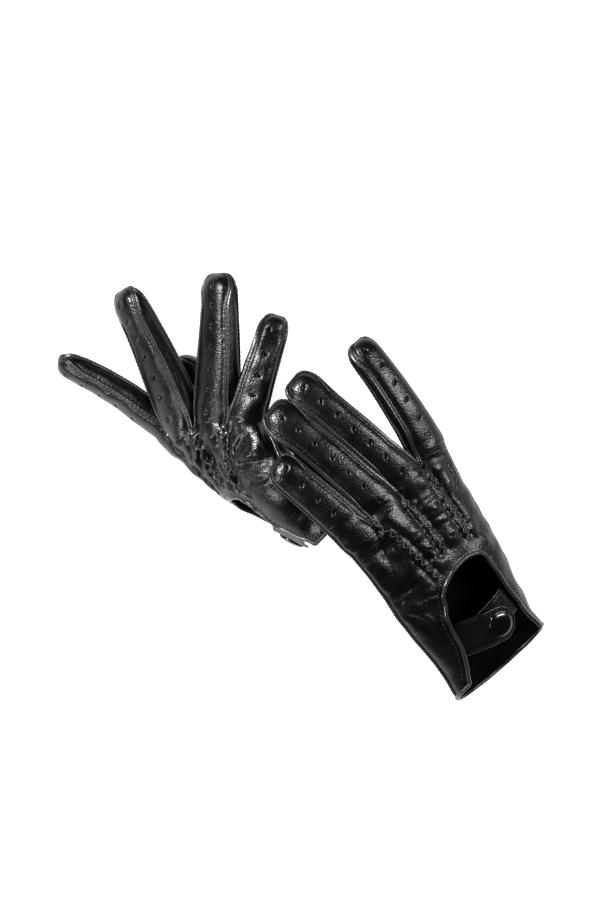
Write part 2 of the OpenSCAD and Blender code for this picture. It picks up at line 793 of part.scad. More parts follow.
module right_stud_tab() {
  color(inner_colour)
    translate(place)
      stud_tab(right_glove);
}
module right_snap_cap() {
  color(metal_colour)
    translate(place)
      snap_cap(right_glove);
}
module right_snap_socket() {
  color(metal_colour)
    translate(place)
      snap_socket(right_glove);
}
module right_snap_stud() {
  color(metal_colour)
    translate(place)
      snap_stud(right_glove);
}
module right_snap_post() {
  color(metal_colour)
    translate(place)
      snap_post(right_glove);
}

// The left glove.
module left_back_panel() {
  color(leather_colour)
    translate(place)
      back_panel(left_glove);
}
module left_palm_panel() {
  color(leather_colour)
    translate(place)
      palm_panel(left_glove);
}
module left_fourchette_index_middle() {
  color(leather_colour)
    translate(place)
      fourchette(left_glove, 0);
}
module left_fourchette_middle_ring() {
  color(leather_colour)
    translate(place)
      fourchette(left_glove, 1);
}
module left_fourchette_ring_little() {
  color(leather_colour)
    translate(place)
      fourchette(left_glove, 2);
}
module left_thumb_back() {
  color(leather_colour)
    translate(place)
      thumb_side(left_glove, 0);
}
module left_thumb_front() {
  color(leather_colour)
    translate(place)
      thumb_side(left_glove, thumb_half);
}
module left_keyhole_binding() {
  color(inner_colour)
    translate(place)
      keyhole_binding(left_glove);
}
module left_cuff_hem() {
  color(inner_colour)
    translate(place)
      cuff_hem(left_glove);
}
module left_point_inner() {
  color(inner_colour)
    translate(place)
      point_ridge(left_glove, 0);
}
module left_point_centre() {
  color(inner_colour)
    translate(place)
      point_ridge(left_glove, 1);
}
module left_point_outer() {
  color(inner_colour)
    translate(place)
      point_ridge(left_glove, 2);
}
module left_strap_root() {
  color(inner_colour)
    translate(place)
      strap_root(left_glove);
}
module left_strap() {
  color(inner_colour)
    translate(place)
      strap(left_glove);
}
module left_stud_tab() {
  color(inner_colour)
    translate(place)
      stud_tab(left_glove);
}
module left_snap_cap() {
  color(metal_colour)
    translate(place)
      snap_cap(left_glove);
}
module left_snap_socket() {
  color(metal_colour)
    translate(place)
      snap_socket(left_glove);
}
module left_snap_stud() {
  color(metal_colour)
    translate(place)
      snap_stud(left_glove);
}
module left_snap_post() {
  color(metal_colour)
    translate(place)
      snap_post(left_glove);
}

right_back_panel();
right_palm_panel();
right_fourchette_index_middle();
right_fourchette_middle_ring();
right_fourchette_ring_little();
right_thumb_back();
right_thumb_front();
right_keyhole_binding();
right_cuff_hem();
right_point_inner();
right_point_centre();
right_point_outer();
right_strap_root();
right_strap();
right_stud_tab();
right_snap_cap();
right_snap_socket();
right_snap_stud();
right_snap_post();
left_back_panel();
left_palm_panel();
left_fourchette_index_middle();
left_fourchette_middle_ring();
left_fourchette_ring_little();
left_thumb_back();
left_thumb_front();
left_keyhole_binding();
left_cuff_hem();
left_point_inner();
left_point_centre();
left_point_outer();
left_strap_root();
left_strap();
left_stud_tab();
left_snap_cap();
left_snap_socket();
left_snap_stud();
left_snap_post();
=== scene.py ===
"""Looks of a pair of black leather driving gloves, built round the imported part.

Lengths are in millimetres in the shape code and turned into metres when a mesh is made.
"""

import math

import bpy
import numpy as np
from mathutils import Matrix, Vector
from mathutils.bvhtree import BVHTree
from mathutils.kdtree import KDTree


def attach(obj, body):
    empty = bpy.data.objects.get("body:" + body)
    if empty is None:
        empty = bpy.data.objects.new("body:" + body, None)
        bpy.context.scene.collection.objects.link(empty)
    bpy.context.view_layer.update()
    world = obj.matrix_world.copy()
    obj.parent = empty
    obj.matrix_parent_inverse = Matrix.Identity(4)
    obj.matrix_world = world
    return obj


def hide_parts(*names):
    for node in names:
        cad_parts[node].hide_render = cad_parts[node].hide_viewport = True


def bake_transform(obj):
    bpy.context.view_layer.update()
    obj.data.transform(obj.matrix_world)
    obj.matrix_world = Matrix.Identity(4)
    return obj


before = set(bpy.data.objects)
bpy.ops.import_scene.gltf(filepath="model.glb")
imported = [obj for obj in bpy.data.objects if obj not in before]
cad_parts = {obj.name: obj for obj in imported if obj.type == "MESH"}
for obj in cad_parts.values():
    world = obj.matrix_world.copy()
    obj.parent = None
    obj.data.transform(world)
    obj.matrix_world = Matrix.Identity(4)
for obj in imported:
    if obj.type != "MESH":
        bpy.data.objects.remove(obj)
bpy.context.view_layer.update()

# ---- small maths ----


def unit(v):
    v = np.asarray(v, float)
    return v / np.maximum(np.linalg.norm(v, axis=-1, keepdims=True), 1e-12)


def ease(x):
    c = np.clip(x, 0, 1)
    return c * c * (3 - 2 * c)


def mix(a, b, w):
    w = np.asarray(w, float)
    if np.ndim(a) > w.ndim:
        w = w[..., None]
    return a * (1 - w) + b * w


def wave(x, k):
    return np.sign(x) * np.abs(x) ** k


def dot(a, b):
    return np.sum(a * b, axis=-1)


def bump(d, width):
    return np.exp(-((d / width) ** 2))


WAVES = 26


def plane_waves(p, long, across, frame_axes, seed):
    """Smooth noise of about -1 to 1: wavelength long along the first axis, across along the others."""
    rng = np.random.default_rng(seed)
    q = p @ np.array(frame_axes).T
    total = np.zeros(p.shape[:-1])
    for _ in range(WAVES):
        scale = rng.uniform(0.75, 1.6)
        k = rng.normal(0, 1, 3) * np.array([0.35, 0.6, 0.6]) / across
        k[0] = rng.choice([-1, 1]) / long
        total += np.cos(2 * math.pi * (q @ (k * scale)) + rng.uniform(0, 6.283))
    return total / math.sqrt(WAVES / 2) / 1.6


# ---- the pattern ----

# Shift of the whole pair onto the part's origin.
PLACE = np.array([0.885, 4.35, 0.183])
# Half width of a side strip round the finger, degrees.
GUSSET = 38.0
# Roundness of the sections, where 2 is an ellipse.
FINGER_SQUARE = 2.35
HAND_SQUARE = 2.2
# Depth of the palm side against the back.
PALM_SHARE = 0.78
# Length of a fingertip's dome against its half width.
TIP_DOME = 1.15
# Columns of the back's pattern: the keyhole's two sides and the little-finger edge. The thumb edge is 0.
NEAR_COLUMN, FAR_COLUMN, LAST_COLUMN = 4, 14, 22

# digits: root, middle, tip, back direction, half widths and swell, half heights of each.
# plump: what each soft digit's half width gains. key_far: the keyhole's far side, across by row.
LEFT = dict(
    name="left",
    side=-1,
    digits=[
        [[71.5, -28, 57], [74, 12, 68], [73.5, 50, 73], [0.48, -0.24, 1], [12.4, 9.5, 0], [9.2, 7.8]],
        [[49, -32, 67], [39.3, 10.7, 77.5], [28.5, 54, 83], [0.18, -0.28, 1], [10.6, 9.8, 0], [9.2, 8]],
        [[27.5, -39, 72], [18, 4, 80.5], [7, 47.5, 85], [0.22, -0.34, 1], [11, 10.8, 0.5], [9, 7.8]],
        [[6, -49.8, 72], [-1, -14.6, 80.5], [-9.8, 19.5, 85], [0.12, -0.3, 1], [11.2, 9.3, 0], [8.8, 7.4]],
        [[62, -110, 26], [55, -84, 16], [40, -56, 14], [0.3, 0, 1], [12.5, 10, 0], [11, 8.6]],
    ],
    hem=[31, -153.5, 24.9],
    axis=[0.055, 0.92, 0.37],
    back=[0.27, -0.36, 0.9],
    wide=36.5,
    deep=18.0,
    tab=13.2,
    snap=(0.14, 0.22),
    bulge=0,
    reach=22,
    plump=[0.2, 1.3, 1.4, 1.3, 0],
    key_far=[
        (0, 0.78), (0.17, 0.59), (0.29, 0.533), (0.36, 0.48), (0.41, 0.382), (0.62, 0.3), (1, 0.273),
    ],
)
RIGHT = dict(
    name="right",
    side=1,
    digits=[
        [
            [-53, 78, 13.5], [-65.4, 116.8, 14], [-83, 151, 13],
            [-0.856, -0.296, 0.423], [10.4, 8.8, 1.5], [9, 7.6],
        ],
        [[-43, 69, 32], [-30.8, 118, 33], [-23.5, 162, 34], [-0.735, 0.173, 0.656], [12, 10.6, 4], [9.8, 8]],
        [[-25, 61.8, 46], [5, 98, 50], [31, 134, 52], [-0.476, 0.345, 0.809], [12.2, 10.4, 2.4], [9.6, 8]],
        [[-7.6, 51.6, 58], [14.8, 69.2, 61], [45, 91, 62], [-0.05, 0.05, 0.99], [10.9, 8.2, 0], [8.6, 7]],
        [[-5, 38, 15], [-11, 74, 13.5], [-24, 108, 12.5], [-0.3, 0.1, 1], [12.5, 10, 0], [11, 8.6]],
    ],
    hem=[-6.5, -27, 33],
    axis=[-0.45, 0.89, 0],
    back=[-0.89, -0.45, 0],
    wide=32.4,
    deep=22.0,
    tab=16.6,
    snap=(0.12, 0.2),
    bulge=4,
    reach=13,
    plump=[0.6, 0.6, 0.6, 0.6, 0],
    key_far=[
        (0, 0.78), (0.17, 0.59), (0.23, 0.47), (0.29, 0.4),
        (0.36, 0.33), (0.41, 0.25), (0.62, 0.2), (1, 0.2),
    ],
)


def controls(q):
    """Root, control point and tip of the curve that passes through a digit's middle."""
    r, m, p = (np.array(x, float) for x in q[:3])
    return r, 2 * m - (r + p) / 2, p


def curve_at(q, s):
    r, c, p = controls(q)
    s = np.asarray(s, float)[..., None]
    return (1 - s) ** 2 * r + 2 * s * (1 - s) * c + s * s * p


def slope_at(q, s):
    r, c, p = controls(q)
    s = np.asarray(s, float)[..., None]
    return unit((1 - s) * (c - r) + s * (p - c))


def digit_length(q):
    return float(np.linalg.norm(np.array(q[2], float) - np.array(q[0], float)))


def section(g, d, s):
    q = g["digits"][d]
    s = np.asarray(s, float)
    along = slope_at(q, s)
    nd = np.array(q[3], float)
    n = unit(nd - dot(along, nd)[..., None] * along)
    u = g["side"] * np.cross(along, n)
    left = (1 - s) * digit_length(q) / (TIP_DOME * q[4][1])
    dome = np.sqrt(np.maximum(0, 1 - (1 - np.minimum(1, left)) ** 2))
    swell = q[4][2] * 9.48 * s * (1 - s) ** 3
    a = (q[4][0] * (1 - s) + q[4][1] * s + swell + g["plump"][d]) * (0.25 + 0.75 * dome)
    b = (q[5][0] * (1 - s) + q[5][1] * s) * dome
    return curve_at(q, s), u, n, a, b


def on_digit(g, d, s, deg):
    c, u, n, a, b = section(g, d, s)
    t = np.radians(deg)
    k = 2 / FINGER_SQUARE
    return c + u * (a * wave(np.cos(t), k))[..., None] + n * (b * wave(np.sin(t), k))[..., None]


def gusset(s):
    return GUSSET * (1 - 0.8 * ease((s - 0.72) / 0.28)) * (0.62 + 0.38 * ease(s / 0.22))


def strip_angle(d, s, share):
    first = 180.0 if d == 0 else 180 - gusset(s)
    last = 0.0 if d == 3 else gusset(s)
    return first * (1 - share) + last * share


def crotch(g, d, m, w):
    """Turn between fingers d and d + 1: m from one to the other, w 1 at the back and -1 at the palm."""
    w = np.asarray(w, float)
    zero = np.zeros_like(w)
    p = on_digit(g, d, zero, w * gusset(zero))
    q = on_digit(g, d + 1, zero, 180 - w * gusset(zero))
    a = slope_at(g["digits"][d], 0.0)
    b = slope_at(g["digits"][d + 1], 0.0)
    depth = 2.2 + 2.6 * ease(w) + 1.2 * ease(-w)
    bow = (1 - np.abs(2 * m - 1) ** 1.7) * depth
    return p * (1 - m) + q * m - unit(a + b) * bow[..., None]


def root_point(g, i, way):
    d = min(3, int(i // 6))
    j = i - 6 * d
    if j <= 4:
        return on_digit(g, d, np.array(0.0), way * strip_angle(d, 0.0, j / 4))
    return crotch(g, d, (j - 4) / 2, np.array(float(way)))


def hand_frame(g):
    roots = [np.array(q[0], float) for q in g["digits"][:4]]
    end = sum(roots) / 4
    across = unit(roots[3] - roots[0])
    n = unit(sum(unit(q[3]) for q in g["digits"][:4]))
    n = unit(n - (n @ across) * across)
    return end, across, n


def hand(g, v):
    v = np.asarray(v, float)
    hem = np.array(g["hem"], float)
    v0 = unit(g["axis"])
    n0 = np.array(g["back"], float)
    n0 = unit(n0 - (n0 @ v0) * v0)
    u0 = g["side"] * np.cross(v0, n0)
    end, across, root_n = hand_frame(g)
    reach = np.linalg.norm(end - hem)
    middle = (hem + v0 * reach / 2) * 0.25 + (hem + end) / 2 * 0.75
    w = ease(v * 1.15 - 0.1)[..., None]
    n1 = unit(n0 * (1 - w) + root_n * w)
    swell = ease(v / 0.75) * (1 - ease((v - 0.75) / 0.4))
    c = curve_at([hem, middle, end], v) + n1 * (g["bulge"] * swell)[..., None]
    u1 = u0 * (1 - w) + across * w
    u = unit(u1 - dot(u1, n1)[..., None] * n1)
    k = g["wide"]
    width = np.interp(v, [0, 0.08, 0.18, 0.32, 0.5, 0.72, 1], [k, k - 1, k - 0.5, k + 2.5, k + 5, 42, 44])
    k = g["deep"]
    depth = np.interp(v, [0, 0.18, 0.32, 0.5, 0.72, 1], [k, k, k - 1, k - 2.5, 14, 11.5])
    return c, u, n1, width, depth


def on_hand(g, x, v, way):
    c, u, n, a, b = hand(g, v)
    f = np.clip(x, -1, 1)
    h = np.maximum(0, 1 - np.abs(f) ** HAND_SQUARE) ** (1 / HAND_SQUARE)
    p = c + u * (a * f)[..., None] + n * ((-PALM_SHARE if way < 0 else 1) * b * h)[..., None]
    slant = g["reach"] * (1 - way * h) / 2 * (1 - ease(np.asarray(v, float) / 0.4))
    return p - unit(g["axis"]) * slant[..., None]


def key_near(v):
    return np.interp(v, [0, 0.1, 0.28, 0.41, 0.62, 1], [-0.877, -0.822, -0.689, -0.642, -0.65, -0.636])


def key_far(g, v):
    return np.interp(v, *zip(*g["key_far"]))


def angle_of(x):
    return np.arccos(wave(x, HAND_SQUARE / 2))


def share_of(t):
    return wave(np.cos(t), 2 / HAND_SQUARE)


KEY_V = 0.41
KEY_RISE = 0.107


def back_x(g, i, v):
    """Across share of column i on the back at row v, in even steps of angle; the thumb side is -1."""
    near, far = angle_of(key_near(v)), angle_of(key_far(g, v))
    t = np.where(
        i <= NEAR_COLUMN,
        math.pi + (near - math.pi) * i / NEAR_COLUMN,
        np.where(
            i >= FAR_COLUMN,
            far * (1 - (i - FAR_COLUMN) / (LAST_COLUMN - FAR_COLUMN)),
            near + (far - near) * (i - NEAR_COLUMN) / (FAR_COLUMN - NEAR_COLUMN),
        ),
    )
    return share_of(t)


def key_rise(q, v0):
    """How far a row is pushed over the keyhole's arch, at a share q of its width."""
    return np.sqrt(4 * q * (1 - q)) * KEY_RISE * (1 - ease((v0 - KEY_V) / 0.42))


def to_roots(p, roots, v):
    """Points of the hand, turned into the fingers' roots over the last rows."""
    return mix(p, roots, ease((v - 0.55) / 0.45))


def back_at(g, i, v0, roots):
    x = back_x(g, i, v0)
    near, far = key_near(v0), key_far(g, v0)
    q = np.clip((x - near) / (far - near), 0, 1)
    v = v0 + np.where(v0 < KEY_V - 1e-9, 0, key_rise(q, v0))
    return to_roots(on_hand(g, x, v, 1), roots, v)


# Thumb hole in the palm: middle and half size, in shares across and rows along, and its edges.
HOLE_X = (-0.5909, 0.3182)
HOLE_V = (0.455, 0.225)
HOLE_SIDES = (0.909, 0.2727)
HOLE_ROWS = (0.23, 0.68)


def palm_at(g, i, v, roots):
    x = share_of(math.pi * (1 - i / LAST_COLUMN))
    p, q = (x - HOLE_X[0]) / HOLE_X[1], (v - HOLE_V[0]) / HOLE_V[1]
    m = np.maximum(np.maximum(np.abs(p), np.abs(q)), 1e-9)
    pe, qe = p / m, q / m
    fade = 1 - ease((m - 1) / 0.7)
    x = x + HOLE_X[1] * pe * (np.sqrt(1 - qe**2 / 2) - 1) * fade * (m > 0.999)
    v = v + HOLE_V[1] * qe * (np.sqrt(1 - pe**2 / 2) - 1) * fade * (m > 0.999)
    return to_roots(on_hand(g, x, v, -1), roots, v)


def thumb_at(g, p, q, s):
    c, _, _, a, b = section(g, 4, s)
    along = slope_at(g["digits"][4], s)
    m = hand(g, 0.4)[1]
    e1 = unit(m - dot(along, m)[..., None] * along)
    e2 = -g["side"] * np.cross(along, e1)
    pd, qd = p * np.sqrt(1 - q**2 / 2), q * np.sqrt(1 - p**2 / 2)
    turn = np.arctan2(qd, pd)
    free = c + e1 * (a * np.cos(turn))[..., None] + e2 * (b * np.sin(turn))[..., None]
    base = on_hand(g, HOLE_X[0] + HOLE_X[1] * pd, HOLE_V[0] + HOLE_V[1] * qd, -1)
    return mix(base, free, ease(s / 0.3))


# ---- fine grids ----

EDGE = [0, 0.075, 0.15, 0.24, 0.35, 0.49, 0.66, 0.88]


def strip_columns():
    """Column numbers over one strip of leather, closer together at its two seams."""
    return EDGE + list(np.linspace(1.12, 2.88, 9)) + [4 - e for e in reversed(EDGE)]


def all_columns():
    cols = []
    for d in range(4):
        cols += [6 * d + c for c in strip_columns()]
        if d < 3:
            cols += [6 * d + 4 + c for c in (0.12, 0.3, 0.55, 0.8, 1.0, 1.2, 1.45, 1.7, 1.88)]
    # More beside the keyhole's two sides.
    cols += [4.04, 13.96, 13.88, 13.76, 14.12, 14.3, 14.6]
    return np.array(sorted(set(np.round(cols, 5))))


def digit_rows(q, count):
    """Values of s along a digit, in even steps of the dome's angle at the tip."""
    dome = TIP_DOME * q[4][1] / digit_length(q)
    shaft = list(np.linspace(0, 1 - dome, count))
    return np.array(shaft + [1 - dome * (1 - math.sin(f)) for f in np.linspace(0, math.pi / 2, 13)[1:]])


FORK = np.array(
    [-1, -0.95, -0.89, -0.81, -0.7, -0.55, -0.35, -0.12, 0.12, 0.35, 0.55, 0.7, 0.81, 0.89, 0.95, 1]
)
HAND_V = list(np.linspace(0, 0.02, 4)) + list(np.linspace(0.02, 1, 106)) + [*HOLE_ROWS, KEY_V]
HAND_V = np.array(sorted(set(np.round(HAND_V, 6))))
FINGER_ROWS, THUMB_ROWS = 62, 46
# Panels of a glove in the order of their labels.
PANELS = [
    "back_panel", "palm_panel", "fourchette_index_middle", "fourchette_middle_ring",
    "fourchette_ring_little", "thumb_back", "thumb_front",
]
BACK, PALM, FIRST_FORK, THUMB_BACK, THUMB_FRONT = 0, 1, 2, 5, 6


class Skin:
    """All the leather of one glove as one welded mesh, with a panel label on each face."""

    def __init__(self):
        self.points, self.faces, self.labels, self.total = [], [], [], 0
        self.holes = []

    def grid(self, p, label, flip, keep=None):
        rows, cols = p.shape[:2]
        index = np.arange(rows * cols).reshape(rows, cols) + self.total
        quads = np.stack([index[:-1, :-1], index[:-1, 1:], index[1:, 1:], index[1:, :-1]], -1)
        quads = quads[keep] if keep is not None else quads.reshape(-1, 4)
        if flip:
            quads = quads[:, ::-1]
        self.points.append(p.reshape(-1, 3))
        self.faces.append(quads)
        self.labels.append(np.full(len(quads), label))
        self.total += rows * cols

    def weld(self):
        p = np.concatenate(self.points)
        faces = np.concatenate(self.faces)
        labels = np.concatenate(self.labels)
        cell = np.round(p * 500).astype(np.int64)
        _, first, back = np.unique(cell, axis=0, return_index=True, return_inverse=True)
        faces = back.reshape(-1)[faces]
        used, faces_used = np.unique(faces, return_inverse=True)
        self.p = p[first][used]
        self.f = faces_used.reshape(faces.shape)
        self.label = labels
        self.mask = np.zeros(len(self.p), np.int64)
        for k in range(4):
            np.bitwise_or.at(self.mask, self.f[:, k], 1 << self.label)

    def normals(self):
        p, f = self.p, self.f
        face = np.cross(p[f[:, 2]] - p[f[:, 0]], p[f[:, 3]] - p[f[:, 1]])
        total = np.zeros_like(p)
        for k in range(4):
            for axis in range(3):
                total[:, axis] += np.bincount(f[:, k], face[:, axis], len(p))
        return unit(total)

    def edges(self):
        """Pairs of joined points, and the number of faces at each."""
        e = np.concatenate([self.f[:, [k, (k + 1) % 4]] for k in range(4)])
        e = np.sort(e[e[:, 0] != e[:, 1]], axis=1)
        return np.unique(e, axis=0, return_counts=True)

    def open_edge(self):
        """True for the points along the cuff, the keyhole and the perforations."""
        pairs, count = self.edges()
        out = np.zeros(len(self.p), bool)
        out[pairs[count == 1].ravel()] = True
        return out

    def smooth(self, rounds, weight):
        """Moves each point halfway to the mean of its neighbours, times its weight."""
        e, _ = self.edges()
        n = len(self.p)
        degree = np.bincount(e.ravel(), minlength=n)
        w = 0.5 * weight[:, None]
        for _ in range(rounds):
            total = np.zeros_like(self.p)
            for axis in range(3):
                q = self.p[:, axis]
                total[:, axis] = np.bincount(e[:, 0], q[e[:, 1]], n) + np.bincount(e[:, 1], q[e[:, 0]], n)
            self.p += (total / np.maximum(degree, 1)[:, None] - self.p) * w


# Perforations: radius, distance of the first from the fingertip, step, and each finger's count and column.
PUNCH_RADIUS = 0.78
PUNCH_FIRST = 8.5
PUNCH_STEP = 13.0
PUNCH_COUNT = [5, 8, 7, 4]
PUNCH_COLUMN = [2.44, 2.0, 2.0, 1.56]


def closest(values, x):
    return int(np.argmin(np.abs(values - x)))


def punch(skin, p, keep, row, col):
    """A round hole in a grid: the points round one are set on a circle and its four faces left out."""
    mid = p[row, col].copy()
    for a in (-1, 0, 1):
        for b in (-1, 0, 1):
            if a or b:
                p[row + a, col + b] = mid + PUNCH_RADIUS * unit(p[row + a, col + b] - mid)
    keep[row - 1 : row + 1, col - 1 : col + 1] = False
    skin.holes.append(mid)


def build_skin(g):
    skin = Skin()
    side = g["side"]
    cols = all_columns()
    root = {way: np.array([root_point(g, i, way) for i in cols]) for way in (1, -1)}
    # Back and palm of the hand.
    ii, vv = np.meshgrid(cols, HAND_V)
    back = back_at(g, ii, vv, root[1][None])
    back[-1] = root[1]
    mid_i = (cols[:-1] + cols[1:]) / 2
    mid_v = (HAND_V[:-1] + HAND_V[1:]) / 2
    keep = ~((mid_v[:, None] < KEY_V) & (mid_i[None] > NEAR_COLUMN) & (mid_i[None] < FAR_COLUMN))
    reach = np.linalg.norm(hand_frame(g)[0] - np.array(g["hem"], float))
    for d in range(4):
        for k in range(PUNCH_COUNT[d]):
            past = PUNCH_FIRST + PUNCH_STEP * k - digit_length(g["digits"][d])
            if past > 1.5:
                row = closest(HAND_V, 1 - past / reach)
                punch(skin, back, keep, row, closest(cols - 6 * d, PUNCH_COLUMN[d]))
    skin.grid(back, BACK, side < 0, keep)
    edge_i = [LAST_COLUMN * (1 - math.acos(-abs(x) ** (HAND_SQUARE / 2)) / math.pi) for x in HOLE_SIDES]
    # The palm's columns nearest the thumb hole's sides lie on them.
    pcols = cols.copy()
    for e in edge_i:
        pcols[closest(pcols, e)] = e
    ii, vv = np.meshgrid(pcols, HAND_V)
    palm = palm_at(g, ii, vv, root[-1][None])
    palm[-1] = root[-1]
    mid_i = (pcols[:-1] + pcols[1:]) / 2
    hole = (mid_v[:, None] > HOLE_ROWS[0]) & (mid_v[:, None] < HOLE_ROWS[1])
    hole = hole & (mid_i[None] > edge_i[0]) & (mid_i[None] < edge_i[1])
    skin.grid(palm, PALM, side > 0, ~hole)
    # Fingers.
    for d in range(4):
        q = g["digits"][d]
        rows = digit_rows(q, FINGER_ROWS)
        share = cols[(cols >= 6 * d - 1e-6) & (cols <= 6 * d + 4 + 1e-6)] - 6 * d
        ss, jj = np.meshgrid(rows, share)
        ss, jj = ss.T, jj.T
        for way, label in ((1, BACK), (-1, PALM)):
            p = on_digit(g, d, ss, way * strip_angle(d, ss, jj / 4))
            keep = np.ones((len(rows) - 1, len(share) - 1), bool)
            for k in range(PUNCH_COUNT[d] if way > 0 else 0):
                at = 1 - (PUNCH_FIRST + PUNCH_STEP * k) / digit_length(q)
                if at > 0.02:
                    punch(skin, p, keep, closest(rows, at), closest(share, PUNCH_COLUMN[d]))
            skin.grid(p, label, side * way < 0, keep)
    # Side strips between the fingers.
    for d in range(3):
        above = digit_rows(g["digits"][d], FINGER_ROWS)[::-1]
        below = digit_rows(g["digits"][d + 1], FINGER_ROWS)
        turns = (cols[(cols > 6 * d + 4 + 1e-6) & (cols < 6 * d + 6 - 1e-6)] - 6 * d - 4) / 2
        one = [on_digit(g, d, np.full(len(FORK), s), FORK * gusset(s)) for s in above]
        turn = [crotch(g, d, m, FORK) for m in turns]
        two = [on_digit(g, d + 1, np.full(len(FORK), s), 180 - FORK * gusset(s)) for s in below]
        skin.grid(np.array(one + turn + two), FIRST_FORK + d, side < 0)
    # Thumb, from the edge of its hole.
    inner = pcols[(pcols >= edge_i[0] - 1e-6) & (pcols <= edge_i[1] + 1e-6)]
    px = (share_of(math.pi * (1 - inner / LAST_COLUMN)) - HOLE_X[0]) / HOLE_X[1]
    px[0], px[-1] = -1, 1
    beside = (HAND_V > HOLE_ROWS[0] - 1e-6) & (HAND_V < HOLE_ROWS[1] + 1e-6)
    qv = (HAND_V[beside] - HOLE_V[0]) / HOLE_V[1]
    qv[0], qv[-1] = -1, 1
    ring = (
        [(p, -1) for p in px[:-1]]
        + [(1, q) for q in qv[:-1]]
        + [(p, 1) for p in px[:0:-1]]
        + [(-1, q) for q in qv[:0:-1]]
    )
    cut = [len(px) - 1 + len(qv) // 2, 2 * (len(px) - 1) + len(qv) - 1 + len(qv) // 2]
    ring = np.array(ring[cut[1] :] + ring[: cut[1]])
    half = cut[0] + len(ring) - cut[1]
    rows = digit_rows(g["digits"][4], THUMB_ROWS)
    halves = ((THUMB_BACK, ring[: half + 1]), (THUMB_FRONT, np.concatenate([ring[half:], ring[:1]])))
    for label, part in halves:
        ss, pp = np.meshgrid(rows, part[:, 0])
        _, qq = np.meshgrid(rows, part[:, 1])
        skin.grid(thumb_at(g, pp.T, qq.T, ss.T), label, side > 0)
    skin.weld()
    return skin


# ---- mesh making ----


def face_list(f):
    """Faces as lists, with the repeated corners of collapsed quads left out."""
    f = np.asarray(f)
    same = np.zeros(len(f), bool)
    for a in range(4):
        for b in range(a + 1, 4):
            same |= f[:, a] == f[:, b]
    out = f[~same].tolist()
    for q in f[same].tolist():
        short = [v for k, v in enumerate(q) if v not in q[:k]]
        if len(short) > 2:
            out.append(short)
    return out


def add_object(name, data):
    obj = bpy.data.objects.new(name, data)
    bpy.context.scene.collection.objects.link(obj)
    return obj


def make(g, name, p, faces, material, replaces=(), body="glove"):
    """A piece of a glove, with its finish, the nodes that it replaces and the body that it rides on."""
    glove = g["name"]
    mesh = bpy.data.meshes.new(f"{glove}_{name}")
    mesh.from_pydata(((np.asarray(p) + PLACE) * 0.001).tolist(), [], faces)
    mesh.validate()
    mesh.polygons.foreach_set("use_smooth", [True] * len(mesh.polygons))
    mesh.materials.append(material)
    mesh.update()
    obj = add_object(mesh.name, mesh)
    if replaces:
        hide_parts(*(f"{glove}_{node}" for node in replaces))
    if body:
        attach(obj, f"{glove}_{body}")
    return obj


def ring_faces(rows, many):
    """Faces over rows of closed rings of many points, with one face at each end."""
    out = []
    for r in range(rows - 1):
        low, high = r * many, (r + 1) * many
        for k in range(many):
            j = (k + 1) % many
            out.append([low + k, low + j, high + j, high + k])
    out.append(list(range(many))[::-1])
    out.append([(rows - 1) * many + k for k in range(many)])
    return out


def relax(path, rounds):
    path = np.array(path, float)
    for _ in range(rounds):
        inner = (path[:-2] + path[2:]) / 2
        path[1:-1] = path[1:-1] * 0.5 + inner * 0.5
    return path


def length_along(path):
    return np.concatenate([[0], np.cumsum(np.linalg.norm(np.diff(path, axis=0), axis=1))])


def sample(at, length, values):
    return np.stack([np.interp(at, length, values[:, k]) for k in range(3)], 1)


def resample(path, step):
    path = np.asarray(path, float)
    length = length_along(path)
    count = max(2, int(round(length[-1] / step)) + 1)
    return sample(np.linspace(0, length[-1], count), length, path)


def sweep(path, normal, profile):
    """A profile of (side, out) points carried along a path; side is its right, seen from outside."""
    t = unit(np.gradient(path, axis=0))
    n = unit(normal - dot(normal, t)[:, None] * t)
    s = np.cross(t, n)
    profile = np.asarray(profile)
    if profile.ndim == 2:
        profile = np.repeat(profile[None], len(path), 0)
    p = path[:, None] + s[:, None] * profile[..., :1] + n[:, None] * profile[..., 1:]
    return p.reshape(-1, 3), ring_faces(len(path), profile.shape[1])


def oval(a, b, count, dx=0.0, dz=0.0):
    t = np.linspace(0, 2 * math.pi, count, endpoint=False)
    return np.stack([dx + a * np.cos(t), dz + b * np.sin(t)], 1)


def join(parts):
    points, faces, base = [], [], 0
    for p, f in parts:
        points.append(p)
        faces += [[v + base for v in q] for q in f]
        base += len(p)
    return np.concatenate(points), faces


def stitches(path, normal, length=1.9, gap=1.0, radius=0.27, lift=0.12):
    """A row of sewn stitches: each is a short thread that dips into the leather at its two ends."""
    along = length_along(path)
    parts = []
    start = gap
    while start + length < along[-1]:
        t = np.linspace(-1, 1, 7)
        at = start + length * (t + 1) / 2
        n = unit(sample(at, along, normal))
        p = sample(at, along, path) + n * (lift - 0.42 * t**4)[:, None]
        size = radius * (1 - 0.55 * t**6)
        prof = np.stack([oval(r, r * 0.85, 6) for r in size])
        parts.append(sweep(p, n, prof))
        start += length + gap
    return join(parts)


class Surface:
    """Nearest point and normal on a glove's finished leather, in millimetres."""

    def __init__(self, p, faces, normals):
        self.p, self.n = p, normals
        self.faces = face_list(faces)
        self.tree = BVHTree.FromPolygons([Vector(x) for x in p], self.faces)

    def drop(self, points):
        out, normals = [], []
        for q in points:
            hit, _, index, _ = self.tree.find_nearest(Vector(q))
            face = self.faces[index]
            w = 1 / (np.linalg.norm(self.p[face] - np.array(hit), axis=1) + 0.05)
            out.append(np.array(hit))
            normals.append(unit((self.n[face] * w[:, None]).sum(0)))
        return np.array(out), np.array(normals)


# Points further than this from a path are left alone, mm.
PATH_REACH = 22


